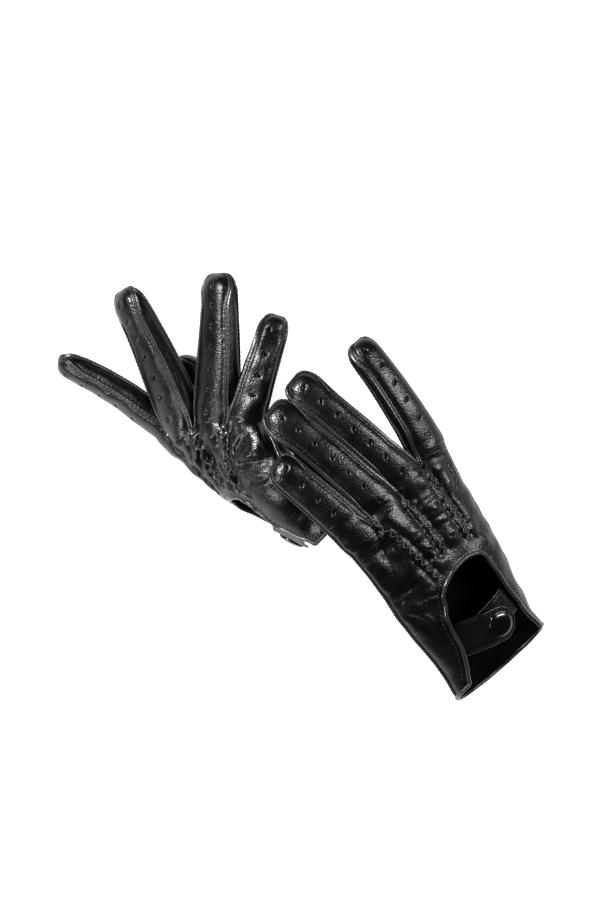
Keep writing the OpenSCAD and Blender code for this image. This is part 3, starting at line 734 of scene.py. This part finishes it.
def to_path(p, path):
    """Distance from each point to a path, the place along it, and the path's length, in mm."""
    best = np.full(len(p), 1e9)
    place = np.zeros(len(p))
    done = 0.0
    near = np.where(np.all((p > path.min(0) - PATH_REACH) & (p < path.max(0) + PATH_REACH), axis=1))[0]
    q = p[near]
    b, w = best[near], place[near]
    for a, c in zip(path[:-1], path[1:]):
        d = c - a
        long = np.linalg.norm(d)
        t = np.clip((q - a) @ d / long**2, 0, 1)
        away = np.linalg.norm(q - a - t[:, None] * d, axis=1)
        hit = away < b
        b[hit] = away[hit]
        w[hit] = done + t[hit] * long
        done += long
    best[near], place[near] = b, w
    return best, place, done


# ---- folds and seams ----

# Rows 0 to 12 of the back's pattern, as shares of the hand's length.
HAND_ROWS = [0, 0.07, 0.14, 0.23, 0.32, 0.41, 0.5, 0.59, 0.68, 0.78, 0.88, 0.95, 1]


def on_line(g, column, row):
    """Point of the back at one of the pattern's own columns and rows."""
    v0 = float(np.interp(row, range(len(HAND_ROWS)), HAND_ROWS))
    near, far = float(key_near(v0)), float(key_far(g, v0))
    between = (column - NEAR_COLUMN) / (FAR_COLUMN - NEAR_COLUMN)
    if column <= NEAR_COLUMN:
        x = -1 + (near + 1) * column / NEAR_COLUMN
    elif column >= FAR_COLUMN:
        x = far + (1 - far) * (column - FAR_COLUMN) / (LAST_COLUMN - FAR_COLUMN)
    else:
        x = near + (far - near) * between
    v = v0 + key_rise(np.clip(between, 0, 1), v0)
    return to_roots(on_hand(g, np.array(x), np.array(v), 1), root_point(g, column, 1), v)


# The three gathered points: column and row of both ends.
POINTS = [[(4.9, 9.9), (5.3, 5.7)], [(10.1, 9.6), (9.7, 5.8)], [(16, 10), (12.7, 5.5)]]


def gather_paths(g):
    out = []
    for (c0, r0), (c1, r1) in POINTS:
        steps = np.linspace(0, 1, 22)
        path = [on_line(g, c0 + (c1 - c0) * t, r0 + (r1 - r0) * t) for t in steps]
        out.append(resample(relax(path, 4), 1.0))
    return out


def fold_path(g, points):
    return resample(relax([on_line(g, i, r) for i, r in smooth_line(points)], 3), 1.5)


def smooth_line(points):
    """Fourteen points on one smooth curve through all the given ones."""
    points = np.array(points, float)
    t = np.linspace(0, len(points) - 1, 14)
    if len(points) == 2:
        return [points[0] * (1 - s) + points[1] * s for s in t]
    out = []
    for s in t:
        k = min(int(s), len(points) - 2)
        p0, p1 = points[max(k - 1, 0)], points[k]
        p2, p3 = points[k + 1], points[min(k + 2, len(points) - 1)]
        f = s - k
        square = (2 * p0 - 5 * p1 + 4 * p2 - p3) * f**2
        cube = (3 * p1 - p0 - 3 * p2 + p3) * f**3
        out.append(0.5 * (2 * p1 + (p2 - p0) * f + square + cube))
    return out


# Folds of the back: points (column, row) of the pattern, depth (below 0 is a crease) and width in mm.
LEFT["folds"] = [
    ([(20.8, 7.2), (18.2, 7.1), (15.8, 7.0)], -1.0, 1.3),
    ([(17, 6.1), (15.4, 6.0), (13.8, 5.7)], -0.8, 1.3),
    ([(14, 7.4), (11.3, 6.3), (9.6, 5.9)], -0.9, 1.2),
    ([(12.6, 7.5), (10.8, 7.0), (9.4, 6.7)], -0.7, 1.1),
    ([(14.4, 8.4), (12.6, 8.0), (10.4, 7.7)], -0.6, 1.1),
    ([(9.2, 7.7), (7.4, 7.5), (5.4, 7.4)], -0.6, 1.1),
    ([(9.2, 6.7), (7.6, 6.4), (5.6, 6.3)], -0.6, 1.1),
    ([(9.3, 8.7), (7.2, 8.4), (5.2, 8.5)], -0.55, 1.2),
    ([(19.2, 9.1), (17.7, 8.4), (16.2, 7.6)], -1.6, 5.5),
    ([(21.6, 9.0), (21.4, 8.2), (21.2, 7.5)], 0.9, 3.6),
    ([(20.6, 6.8), (19, 6.2), (17.4, 5.6)], 1.2, 2.8),
    ([(19.6, 5.9), (18.2, 5.0), (17.2, 4.2)], 0.8, 2.6),
    ([(15.6, 4.8), (15.1, 3.7), (15.6, 2.6)], 0.7, 2.6),
    ([(21.4, 6.1), (19.6, 5.2), (18.2, 4.4)], -0.7, 1.6),
    ([(11.2, 7.4), (11.8, 7.0)], 0.9, 3.2),
    ([(7.4, 8.0), (7.6, 7.9)], 1.0, 3.4),
    ([(7.4, 6.9), (7.6, 6.8)], 1.0, 3.2),
    ([(12.0, 8.0), (12.4, 7.8)], 0.9, 3.0),
    ([(12.4, 6.7), (12.0, 6.3)], 0.9, 2.8),
    ([(3.6, 8.0), (1.9, 7.8), (0.6, 7.6)], -0.7, 1.4),
    ([(4.9, 6.6), (3.2, 6.2), (2.0, 5.1)], 0.8, 2.4),
    ([(3.8, 7.2), (2.2, 7.1), (0.8, 6.9)], 0.7, 2.4),
    ([(3.4, 10.9), (2.5, 10.5), (1.4, 10.0), (0.4, 9.6)], -1.0, 1.0),
    ([(3.2, 10.2), (2.3, 9.9), (1.2, 9.4)], 0.6, 1.8),
    ([(2.2, 9.4), (1.8, 8.5), (3.0, 7.9)], -0.6, 1.8),
]
RIGHT["folds"] = [
    ([(13.8, 10.2), (11.4, 8.9), (9.4, 7.7), (8.2, 6.9), (8.6, 6.2)], 1.3, 1.6),
    ([(13.2, 10.0), (10.6, 8.8), (8.6, 7.7), (7.4, 6.9)], -1.1, 1.4),
    ([(15.6, 9.8), (15.0, 8.9), (13.6, 7.9), (13.8, 7.2), (14.6, 6.6), (15.4, 5.8)], 1.2, 1.5),
    ([(16.6, 9.6), (15.8, 8.8), (14.5, 7.9), (14.7, 7.2), (15.5, 6.5), (16.3, 5.8)], -1.2, 1.4),
    ([(19.8, 9.0), (17.3, 8.4), (15.4, 8.1)], -0.9, 1.1),
    ([(20.6, 8.2), (18.4, 8.0), (16.6, 8.1)], 1.9, 3.8),
    ([(20.8, 7.6), (18.2, 7.7), (16.0, 7.8)], -1.6, 1.4),
    ([(20.8, 7.0), (18.4, 7.2), (16.4, 7.4)], 0.9, 1.7),
    ([(20.6, 6.6), (18.6, 6.7), (16.8, 6.9)], -0.8, 1.3),
    ([(14.6, 9.2), (12.4, 8.6), (11.4, 8.0)], 0.8, 1.7),
    ([(13.4, 8.8), (12.2, 8.3), (10.6, 7.6)], -0.7, 1.2),
    ([(18.6, 10.6), (17.6, 9.8), (16.6, 9.2)], 1.0, 1.9),
    ([(20.2, 10.8), (19.0, 9.8), (17.8, 9.0)], 0.9, 1.8),
    ([(19.6, 10.8), (18.3, 9.9), (17.2, 9.1)], -0.9, 1.2),
    ([(21.6, 9.8), (21.4, 8.8), (21.8, 7.8)], -1.0, 1.5),
    ([(8.8, 9.4), (7.4, 9.0), (6.2, 8.6)], -0.8, 1.4),
    ([(6.6, 8.6), (5.6, 7.6), (5.2, 6.8)], 0.8, 2.0),
    ([(9.6, 9.9), (8.2, 8.4), (6.8, 7.4)], -0.8, 1.5),
]


def nearest(points):
    tree = KDTree(len(points))
    for k, q in enumerate(points):
        tree.insert(q, k)
    tree.balance()
    return tree


def finish_skin(g, skin):
    """Gives the welded leather its folds, gathers and seams, and returns its surface."""
    skin.rest = skin.p.copy()
    seam = (skin.mask & (skin.mask - 1)) != 0
    free = np.where(seam, 0.25, 1.0) * np.where(skin.open_edge(), 0.0, 1.0)
    skin.smooth(3, free)
    cols = np.arange(0, LAST_COLUMN + 0.1, 0.5)
    roots = np.array([root_point(g, i, way) for way in (1, -1) for i in cols])
    off = np.array([q[2] for q in map(nearest(roots).find, skin.p)])
    skin.smooth(22, free * bump(off, 4.5))
    n = skin.normals()
    p = skin.p
    away = np.array([q[2] for q in map(nearest(p[seam]).find, p)])
    end, across, _ = hand_frame(g)
    hem = np.array(g["hem"], float)
    axis = unit(end - hem)
    across = unit(across - (across @ axis) * axis)
    axes = [axis, across, np.cross(axis, across)]
    along = (p - hem) @ axis / np.linalg.norm(end - hem)
    # Soft creases that run across the glove, strongest over the knuckles and the wrist.
    knuckle = bump(along - 0.82, 0.3)
    fingers = ease((along - 1.05) / 0.1)
    still = 1 - 0.55 * bump(along - 0.25, 0.14)
    h = plane_waves(p, 17, 34, axes, 3 + g["side"]) * (0.2 + 0.22 * knuckle) * still * (1 - 0.7 * fingers)
    fine = plane_waves(p, 5.2, 15, axes, 11 + g["side"])
    h += -0.26 * ease((fine - 0.3) / 0.9) * (0.4 + 0.5 * knuckle) * (1 - 0.6 * fingers)
    h += plane_waves(p, 30, 34, axes, 21 + g["side"]) * (0.4 - 0.2 * fingers)
    # Gathers beside the three points.
    for k, path in enumerate(gather_paths(g)):
        d, place, total = to_path(p, path)
        tail = ease(place / 7) * ease((total - place) / 5)
        reach = bump(np.maximum(d - 1.5, 0), 4.2) * tail
        phase = plane_waves(p, 30, 30, axes, 40 + k) * 1.2
        h += 0.26 * np.cos(2 * math.pi * place / 5.4 + phase + k) * reach * ease(d / 2.0)
        h += (-0.6 * bump(d - 3.4, 1.3) + 0.5 * bump(d, 1.8)) * tail
        h += 0.55 * bump(d - 7.5, 3.6) * tail
    for points, depth, width in g["folds"]:
        d, place, total = to_path(p, fold_path(g, points))
        tail = np.sin(math.pi * np.clip(place / total, 0, 1)) ** 0.6
        if depth < 0:
            h += (depth * bump(d, width) - 0.45 * depth * bump(d - 2.3 * width, 1.2 * width)) * tail
        else:
            h += depth * bump(d, width) * tail
    h *= ease(away / 5) * 0.8 + 0.2
    for hole in skin.holes:
        h -= 0.14 * bump(np.linalg.norm(p - hole, axis=1), 1.3)
    # The seams: turned in at the line, with a soft roll on both sides.
    h += 0.05 * bump(away - 0.9, 0.8) - 0.42 * bump(away - 2.3, 1.0)
    skin.p = p + n * h[:, None]
    return Surface(skin.p, skin.f, skin.normals())


def rest_index(skin, points):
    return [q[1] for q in map(nearest(skin.rest).find, points)]


LEATHER_THICK = 0.9


def panel(g, skin, k, material):
    """One cut piece of leather: grain side out, raw flesh side in."""
    f = skin.f[skin.label == k]
    used, faces = np.unique(f, return_inverse=True)
    faces = face_list(faces.reshape(f.shape))
    obj = make(g, PANELS[k] + "_leather", skin.p[used], faces, material, [PANELS[k]])
    shell = obj.modifiers.new("leather", "SOLIDIFY")
    shell.thickness, shell.offset = LEATHER_THICK * 0.001, -1
    shell.use_even_offset = False
    obj.data.materials.append(LINING)
    shell.material_offset = 1
    return obj


# ---- finishes ----


def wire(tree, node, inputs):
    """Sets each named input of a node to a value, or links it to another node's output."""
    for key, value in inputs.items():
        if isinstance(value, bpy.types.NodeSocket):
            tree.links.new(value, node.inputs[key])
        else:
            node.inputs[key].default_value = value
    return node


def new_material(name):
    """A material, its shader, a function that adds a node, and one that adds noise in object space."""
    mat = bpy.data.materials.new(name)
    mat.use_nodes = True
    tree = mat.node_tree

    def add(kind, inputs, **settings):
        node = tree.nodes.new("ShaderNode" + kind)
        for key, value in settings.items():
            setattr(node, key, value)
        return wire(tree, node, inputs)

    place = add("TexCoord", {}).outputs["Object"]

    def noise(kind, inputs, **settings):
        return add(kind, {"Vector": place, **inputs}, **settings)

    return mat, tree, add, noise


def leather(name, dark, light, rough, grain=1.0, gloss=0.08, shine=0.5):
    """Nappa leather: fine pebbled grain, pores, soft mottling and a thin gloss."""
    mat, tree, add, noise = new_material(name)
    pebble = noise("TexVoronoi", {"Scale": 950, "Smoothness": 0.45}, feature="SMOOTH_F1")
    crease = noise("TexNoise", {"Scale": 300, "Detail": 5, "Roughness": 0.62}).outputs["Fac"]
    broad = noise("TexNoise", {"Scale": 70, "Detail": 3, "Roughness": 0.55}).outputs["Fac"]
    height = add("Math", {0: pebble.outputs["Distance"], 1: -2.2, 2: crease}, operation="MULTIPLY_ADD")
    relief = add("Bump", {"Strength": 0.7 * grain, "Distance": 0.0001, "Height": height.outputs["Value"]})
    share = add("MapRange", {"From Min": 0.3, "From Max": 0.75, "Value": broad})
    colours = {"A": (*dark, 1), "B": (*light, 1), "Factor": share.outputs["Result"]}
    tint = add("Mix", colours, data_type="RGBA")
    dull = {"From Min": 0.3, "From Max": 0.7, "To Min": rough - 0.04, "To Max": rough + 0.07}
    wire(tree, tree.nodes["Principled BSDF"], {
        "Normal": relief.outputs["Normal"],
        "Base Color": tint.outputs["Result"],
        "Roughness": add("MapRange", {**dull, "Value": broad}).outputs["Result"],
        "Coat Weight": gloss,
        "Coat Roughness": 0.24,
        "Specular IOR Level": shine,
    })
    return mat


def plain(name, colour, rough, metal=0.0, coat=0.0, scale=260.0, depth=0.00004, shine=0.5):
    """Thread, metal, enamel or raw leather: one colour with a little unevenness."""
    mat, tree, add, noise = new_material(name)
    speck = noise("TexNoise", {"Scale": scale, "Detail": 4}).outputs["Fac"]
    relief = add("Bump", {"Distance": depth, "Strength": 0.4, "Height": speck})
    dull = add("MapRange", {"To Min": rough - 0.05, "To Max": rough + 0.07, "Value": speck})
    wire(tree, tree.nodes["Principled BSDF"], {
        "Roughness": dull.outputs["Result"],
        "Normal": relief.outputs["Normal"],
        "Base Color": (*colour, 1),
        "Metallic": metal,
        "Specular IOR Level": shine,
        "Coat Weight": coat,
        "Coat Roughness": 0.12,
    })
    return mat


NAPPA = leather("nappa", (0.0016, 0.0016, 0.002), (0.0045, 0.0045, 0.0054), 0.31)
# Darker, duller copy of the nappa for the fourchettes: its darker colour is painted shade between the
# fingers.
SHADED_FORK_NAPPA = leather("nappa_fork_painted_shade", (0.0013, 0.0013, 0.0016), (0.0032, 0.0032, 0.0038), 0.38, 1, 0.03, 0.26)
# Grey far lighter than the black nappa, for the rolled edges and seam edges: painted highlight along the
# edges.
HIGHLIGHT_EDGE_LEATHER = leather("nappa_edge_painted_highlight", (0.02, 0.02, 0.0215), (0.036, 0.036, 0.038), 0.28, 0.5, 0.4)
# Light grey for the zigzag ridges of the three points: painted highlight, so the ridges read as bright
# lines.
HIGHLIGHT_CORD = leather("nappa_cord_painted_highlight", (0.04, 0.04, 0.043), (0.06, 0.06, 0.064), 0.42, 0.3, 0.1)
STRAP_LEATHER = leather("nappa_strap", (0.0016, 0.0016, 0.002), (0.0045, 0.0045, 0.0052), 0.3)
LINING = plain("raw_flesh_side", (0.0016, 0.0016, 0.0018), 0.92, scale=900, depth=0.0003, shine=0.12)
# Dark grey rather than black for the black thread: the extra lightness is painted sheen on the stitches.
SHEEN_THREAD = plain("thread", (0.028, 0.028, 0.031), 0.34, scale=2600, depth=0.0001)
CAP = plain("cap_enamel", (0.002, 0.002, 0.0024), 0.2, coat=0.8, scale=500)
METAL = plain("gunmetal", (0.09, 0.09, 0.1), 0.34, metal=1.0, scale=700)

# ---- the two gloves ----


def build_glove(g):
    skin = build_skin(g)
    surface = finish_skin(g, skin)
    for k in range(len(PANELS)):
        fork = FIRST_FORK <= k < THUMB_BACK
        # The fourchettes take the darker copy of the nappa, painted shade where the fingers shade each
        # other.
        panel(g, skin, k, SHADED_FORK_NAPPA if fork else NAPPA)
    return skin, surface


EDGE_STEP = 0.9


def edge_path(skin, surface, rest):
    """A line of the flat pattern on the finished leather, in even steps, with its normals."""
    index = list(dict.fromkeys(rest_index(skin, rest)))
    path = resample(relax(skin.p[index], 2), EDGE_STEP)
    _, normal = surface.drop(path)
    for _ in range(3):
        normal[1:-1] = unit(normal[:-2] + normal[1:-1] + normal[2:])
    return path, normal


def key_rest(g):
    legs = np.linspace(0, KEY_V, 48)
    near = on_hand(g, key_near(legs), legs, 1)
    far = on_hand(g, key_far(g, legs), legs, 1)[::-1]
    turn = np.linspace(0, math.pi, 60)[1:-1]
    q = (1 - np.cos(turn)) / 2
    a, b = key_near(KEY_V), key_far(g, KEY_V)
    arch = on_hand(g, a + (b - a) * q, KEY_V + KEY_RISE * np.sqrt(4 * q * (1 - q)), 1)
    return np.concatenate([near, arch, far])


def hem_rest(g):
    t = np.linspace(float(angle_of(key_far(g, 0.0))), 0, 24)
    under = np.linspace(0, math.pi, 110)[1:]
    back = np.linspace(math.pi, float(angle_of(key_near(0.0))), 14)[1:]
    parts = ((t, 1), (under, -1), (back, 1))
    return np.concatenate([on_hand(g, share_of(turn), 0 * turn, way) for turn, way in parts])


def trims(g, skin, surface):
    """Rolled edges of the keyhole and cuff, their topstitching, and the three gathered points."""
    edges = (("keyhole", key_rest(g), "keyhole_binding", 3.3), ("cuff", hem_rest(g), "cuff_hem", 3.0))
    for kind, rest, node, inset in edges:
        path, normal = edge_path(skin, surface, rest)
        t = unit(np.gradient(path, axis=0))
        roll = oval(1.35, 1.3, 14, 0.4, -0.35) * np.array([g["side"], 1])
        p, f = sweep(path, normal, roll)
        # The rolled edge takes the lighter grey leather, a painted highlight along the rim.
        make(g, f"{kind}_rolled_edge", p, f, HIGHLIGHT_EDGE_LEATHER, [node])
        inner = path - g["side"] * np.cross(t, normal) * inset
        seat, up = surface.drop(relax(inner, 3)[3:-3])
        p, f = stitches(seat, up)
        # Stitches in the grey thread, whose lightness is painted sheen.
        make(g, f"{kind}_topstitch", p, f, SHEEN_THREAD)
    for path, which in zip(gather_paths(g), ("inner", "centre", "outer")):
        seat, up = surface.drop(resample(path, 2.7))
        t = unit(np.gradient(seat, axis=0))
        s = np.cross(t, up)
        swing = np.where(np.arange(len(seat)) % 2, 1.0, -1.0)[:, None]
        cord = resample(relax(resample(seat + s * swing * 1.7 + up * 0.35, 0.5), 3), 0.45)
        _, up = surface.drop(cord)
        size = 0.45 + 0.04 * np.cos(np.arange(len(cord)) * 0.45 * 2 * math.pi / 2.7)
        size[:2], size[-2:] = 0.2, 0.2
        p, f = sweep(cord, up, np.stack([oval(r, r * 0.8, 8) for r in size]))
        # The ridge takes the light grey leather, a painted highlight along the zigzag.
        make(g, f"point_{which}_ridge", p, f, HIGHLIGHT_CORD, [f"point_{which}"])


def seam_rests(g):
    """Lines where two panels are sewn together: the three forks on both sides, and both edges."""
    shaft = np.concatenate([np.linspace(0, 0.86, 90), np.linspace(0.865, 0.998, 44)])
    for way, face in ((1, "back"), (-1, "palm")):
        for d in range(3):
            one = np.array([on_digit(g, d, s, way * gusset(s)) for s in shaft[::-1]])
            turn = np.array([crotch(g, d, m, float(way)) for m in np.linspace(0.1, 0.9, 9)])
            two = np.array([on_digit(g, d + 1, s, 180 - way * gusset(s)) for s in shaft])
            yield f"{face}_seam_{d + 1}", np.concatenate([one, turn, two])
    rows = np.linspace(1, 0.002, 150)[1:]
    for d, column, kind in ((0, 0, "thumb"), (3, LAST_COLUMN, "little")):
        finger = np.array([on_digit(g, d, s, 180.0 if d == 0 else 0.0) for s in shaft[::-1]])
        root = root_point(g, column, 1)
        hand_ = np.array([back_at(g, np.array(float(column)), np.array(v), root) for v in rows])
        yield f"{kind}_side_seam", np.concatenate([finger, hand_])


# Profile of the two turned edges along a seam: side and height.
SEAM_EDGES = [
    (1.45, -0.5), (1.4, 0.1), (1.22, 0.55), (0.85, 0.74), (0.5, 0.55), (0.22, 0.05),
    (-0.22, 0.05), (-0.5, 0.55), (-0.85, 0.74), (-1.22, 0.55), (-1.4, 0.1), (-1.45, -0.5),
]


def seams(g, skin, surface):
    """The two turned edges of leather along each seam, pinched by the thread between them."""
    for kind, rest in seam_rests(g):
        path, normal = edge_path(skin, surface, rest)
        place = np.arange(len(path)) * EDGE_STEP
        ends = 0.35 + 0.65 * ease(np.minimum(place, place[-1] - place) / 4)
        tall = ends * (1 - 0.14 * np.cos(2 * math.pi * place / 2.7))
        profile = np.stack([np.array(SEAM_EDGES) * [w, h] for w, h in zip(ends, tall)])
        p, f = sweep(path, normal, profile)
        # The seam edges take the lighter grey leather, painted highlight along both turned edges.
        make(g, f"{kind}_edges", p, f, HIGHLIGHT_EDGE_LEATHER)


def snap_frame(g):
    v, share = g["snap"]
    c, u, n, a, b = hand(g, np.array(v))
    x, z = -u, n
    return c - u * share * a + z * g["tab"], x, np.cross(z, x), z, float(a), float(b)


def loft(rows, frame_):
    """A body from rows of closed rings given in a frame's own x, y and z."""
    o, x, y, z = frame_
    rows = np.asarray(rows)
    p = o + rows[..., :1] * x + rows[..., 1:2] * y + rows[..., 2:3] * z
    return p.reshape(-1, 3), ring_faces(rows.shape[0], rows.shape[1])


# The snap's frame: origin on the tab's upper face, x towards the strap's nose, z outwards.
SOCKET_TOP, STRAP_THICK, STRAP_WIDTH, STRAP_NOSE, STRAP_TURN = 3.4, 1.5, 23.0, 10.5, 14.0
TAB_NOSE, TAB_SHIFT, TAB_TURN, TAB_THICK, TAB_HALF = 7.5, 4.0, 8.0, 1.2, 10
# How far the tab runs under the leather where it is sewn, and how far below the back's surface.
TAB_UNDER, TAB_BELOW = 1.9, 2.7
# Distance of the sewn line from the strap's edge, and radius of the edge.
SEWN_INSET, BAND_ROUND = 1.9, 0.7


def band_ring(x, half, low, thick, nose=False):
    """Ring round a flat band with rounded edges and a sewn groove that follows the outline."""
    w = np.concatenate([[-1, -0.985, -0.95], np.linspace(-0.9, 0.9, 22), [0.95, 0.985, 1]])
    ring = []
    for k, y, top in [(k, k * half, 1) for k in w] + [(k, k * half * 0.999, 0) for k in w[::-1]]:
        gap = (1 - abs(k)) * half
        if nose:
            gap = (1 - math.hypot(x / STRAP_NOSE, y / (STRAP_WIDTH / 2))) * STRAP_NOSE
        round_ = math.sqrt(max(0, 1 - (1 - min(1, gap / BAND_ROUND)) ** 2))
        z = thick / 2 * (1 - round_)
        if top:
            z = thick / 2 * (1 + round_)
            z += -0.22 * bump(gap - SEWN_INSET, 0.4) + 0.12 * bump(gap - 1.0, 0.5) * round_
        ring.append([x, y, low + z])
    return ring


def over_tab(g, a, b, x):
    f = min(1, abs((x + g["snap"][1] * a) / a))
    return b * (1 - f**HAND_SQUARE) ** (1 / HAND_SQUARE) - g["tab"]


def turned(x, y, degrees):
    turn = math.radians(degrees)
    return x * math.cos(turn) + y * math.sin(turn), y * math.cos(turn) - x * math.sin(turn)


def strap(g):
    """The strap, which bends at its sewn end, and its topstitching."""
    o, x, y, z, a, b = snap_frame(g)
    xr, yr = turned(x, y, g["side"] * STRAP_TURN)
    cut = -(float(key_far(g, g["snap"][0] + 0.03)) + g["snap"][1]) * a
    start = cut * math.cos(math.radians(STRAP_TURN)) + 1.9
    low = over_tab(g, a, b, cut) - 2.0 - STRAP_THICK
    far = start - 6.3
    drop = over_tab(g, a, b, far) - over_tab(g, a, b, cut) - 0.7
    knots = [far, start - 1.8, start, -10, 12]
    levels = [low + drop, low, low, SOCKET_TOP, SOCKET_TOP]
    grid = np.arange(far, 12, 0.25)
    level = np.interp(grid, knots, levels)
    pad = np.concatenate([np.full(10, level[0]), level, np.full(10, level[-1])])
    level = np.convolve(pad, np.ones(13) / 13, "same")[10:-10]
    shaft = list(np.arange(far, -0.01, 0.8)) + [0.0]
    rows = []
    for k in shaft + [STRAP_NOSE * math.sin(f) for f in np.linspace(0, math.pi / 2, 26)[1:]]:
        half = STRAP_WIDTH / 2 * (1 if k <= 0 else math.sqrt(max(0, 1 - (k / STRAP_NOSE) ** 2)))
        half = max(half - 0.5 * float(ease((start - k) / 3)), 0.05)
        rows.append(band_ring(k, half, float(np.interp(k, grid, level)), STRAP_THICK, k > 0))
    p, f = loft(rows, (o, xr, yr, z))
    both = ["strap", "strap_root"]
    band = make(g, "strap_leather", p, f, STRAP_LEATHER, both, None)
    # Sewn line along the strap, round the nose and back.
    wide, nose = STRAP_WIDTH / 2 - SEWN_INSET, STRAP_NOSE - SEWN_INSET
    line = [[k, wide] for k in np.arange(start + 1.5, 0, 0.8)]
    line += [[nose * math.cos(t), wide * math.sin(t)] for t in np.linspace(math.pi / 2, -math.pi / 2, 40)]
    line += [[k, -wide] for k in np.arange(0, start + 1.5, -0.8)]
    line = np.array(line)
    height = np.interp(line[:, 0], grid, level) + STRAP_THICK - 0.2
    seat = resample(o + line[:, :1] * xr + line[:, 1:] * yr + height[:, None] * z, 0.8)
    p, f = stitches(seat, np.repeat(z[None], len(seat), 0), 1.7, 0.8, 0.22, 0.1)
    # Stitches in the grey thread, whose lightness is painted sheen.
    sewn = make(g, "strap_topstitch", p, f, SHEEN_THREAD, (), None)
    for piece in (band, sewn):
        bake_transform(piece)


def stud_tab(g):
    """The short tab that the strap closes onto, from its nose to under the leather where it is sewn."""
    side = g["side"]
    o, x, y, z, a, b = snap_frame(g)
    edge = -a * (float(key_near(g["snap"][0])) + g["snap"][1])
    knee, end = edge - 5.5, edge + TAB_UNDER
    dip = min(0, over_tab(g, a, b, knee) - TAB_BELOW)
    drop = over_tab(g, a, b, end) - TAB_BELOW
    rows = []
    nose = [-TAB_NOSE + q for q in (0, 0.1, 0.3, 0.6)]
    for k in nose + list(np.arange(1 - TAB_NOSE, end, 0.9)) + [end]:
        inset = max(0.0, 0.6 - TAB_NOSE - k) ** 2
        around = k + np.linspace(-1.5, 1.5, 7)
        level = float(np.interp(around, [7, knee, end], [0, dip, drop]).mean())
        ring = band_ring(k, TAB_HALF - inset, level - TAB_THICK, TAB_THICK)
        rows.append([[q[0], q[1] - side * TAB_SHIFT, q[2]] for q in ring])
    p, f = loft(rows, (o, *turned(x, y, -side * TAB_TURN), z))
    make(g, "stud_tab_leather", p, f, STRAP_LEATHER, ["stud_tab"])


def snap(g):
    """The domed cap, turned round the snap's axis, and the finish of the socket, stud and post."""
    low = SOCKET_TOP + STRAP_THICK
    outline = [
        [0.01, 3.0], [1.2, 3.0], [1.2, low + 0.02], [7.5, low + 0.02], [7.95, low + 0.12],
        [8.2, low + 0.4], [8.25, low + 0.8], [8.15, low + 1.15], [7.95, low + 1.3],
        [7.75, low + 1.28], [7.55, low + 1.38], [7.2, low + 1.62], [6.5, low + 1.95],
        [5.4, low + 2.25], [3.8, low + 2.47], [2.0, low + 2.57], [0.01, low + 2.6],
    ]
    t = np.linspace(0, 2 * math.pi, 72, endpoint=False)
    rows = [[[r * math.cos(q), r * math.sin(q), h] for q in t] for r, h in outline]
    p, f = loft(rows, snap_frame(g)[:4])
    make(g, "snap_cap_dome", p, f, CAP, ["snap_cap"], "strap")
    for node in ("_snap_socket", "_snap_stud", "_snap_post"):
        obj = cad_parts[g["name"] + node]
        obj.data.materials.clear()
        obj.data.materials.append(METAL)


for glove in (RIGHT, LEFT):
    skin, surface = build_glove(glove)
    seams(glove, skin, surface)
    trims(glove, skin, surface)
    strap(glove)
    stud_tab(glove)
    snap(glove)

# ---- floor, light, camera ----


def area_light(name, place, aim, size, power):
    data = bpy.data.lights.new(name, "AREA")
    data.shape = "RECTANGLE"
    data.size, data.size_y = size
    data.energy = power
    obj = add_object(name, data)
    obj.location = place
    obj.rotation_mode = "QUATERNION"
    obj.rotation_quaternion = (Vector(aim) - Vector(place)).to_track_quat("-Z", "Y")


floor_mesh = bpy.data.meshes.new("floor")
floor_mesh.from_pydata([(-3, -3, 0), (3, -3, 0), (3, 3, 0), (-3, 3, 0)], [], [[0, 1, 2, 3]])
floor = add_object("floor", floor_mesh)
paper = bpy.data.materials.new("paper")
paper.use_nodes = True
white = (1, 1, 1, 1)
finish = {"Base Color": (0.45, 0.45, 0.45, 1), "Roughness": 0.9}
finish.update({"Emission Color": white, "Emission Strength": 0.85})
wire(paper.node_tree, paper.node_tree.nodes["Principled BSDF"], finish)
floor_mesh.materials.append(paper)

world = bpy.data.worlds.new("studio")
bpy.context.scene.world = world
world.use_nodes = True
wire(world.node_tree, world.node_tree.nodes["Background"], {"Color": white, "Strength": 0.05})

bpy.context.scene.view_settings.view_transform = "Standard"
bpy.context.scene.view_settings.gamma = 0.82
centre = (0.0, 0.0, 0.04)
area_light("key", (-0.26, 0.66, 0.92), centre, (0.25, 0.25), 20)
area_light("fill", (0.85, -0.35, 0.75), centre, (0.17, 0.6), 9)
area_light("side", (-0.80, 0.05, 0.65), centre, (0.13, 0.6), 6.5)

camera_data = bpy.data.cameras.new("camera")
camera = add_object("camera", camera_data)
camera_data.lens = 126.45
camera_data.clip_end = 50
# Straight down, with the picture's right and up axes turned on the ground.
right, up = (0.80902, -0.58779, 0), (0.58779, 0.80902, 0)
camera.matrix_world = Matrix((right, up, (0, 0, 1))).transposed().to_4x4()
camera.location = (0.00813, 0.02059, 2.00015)
bpy.context.scene.camera = camera
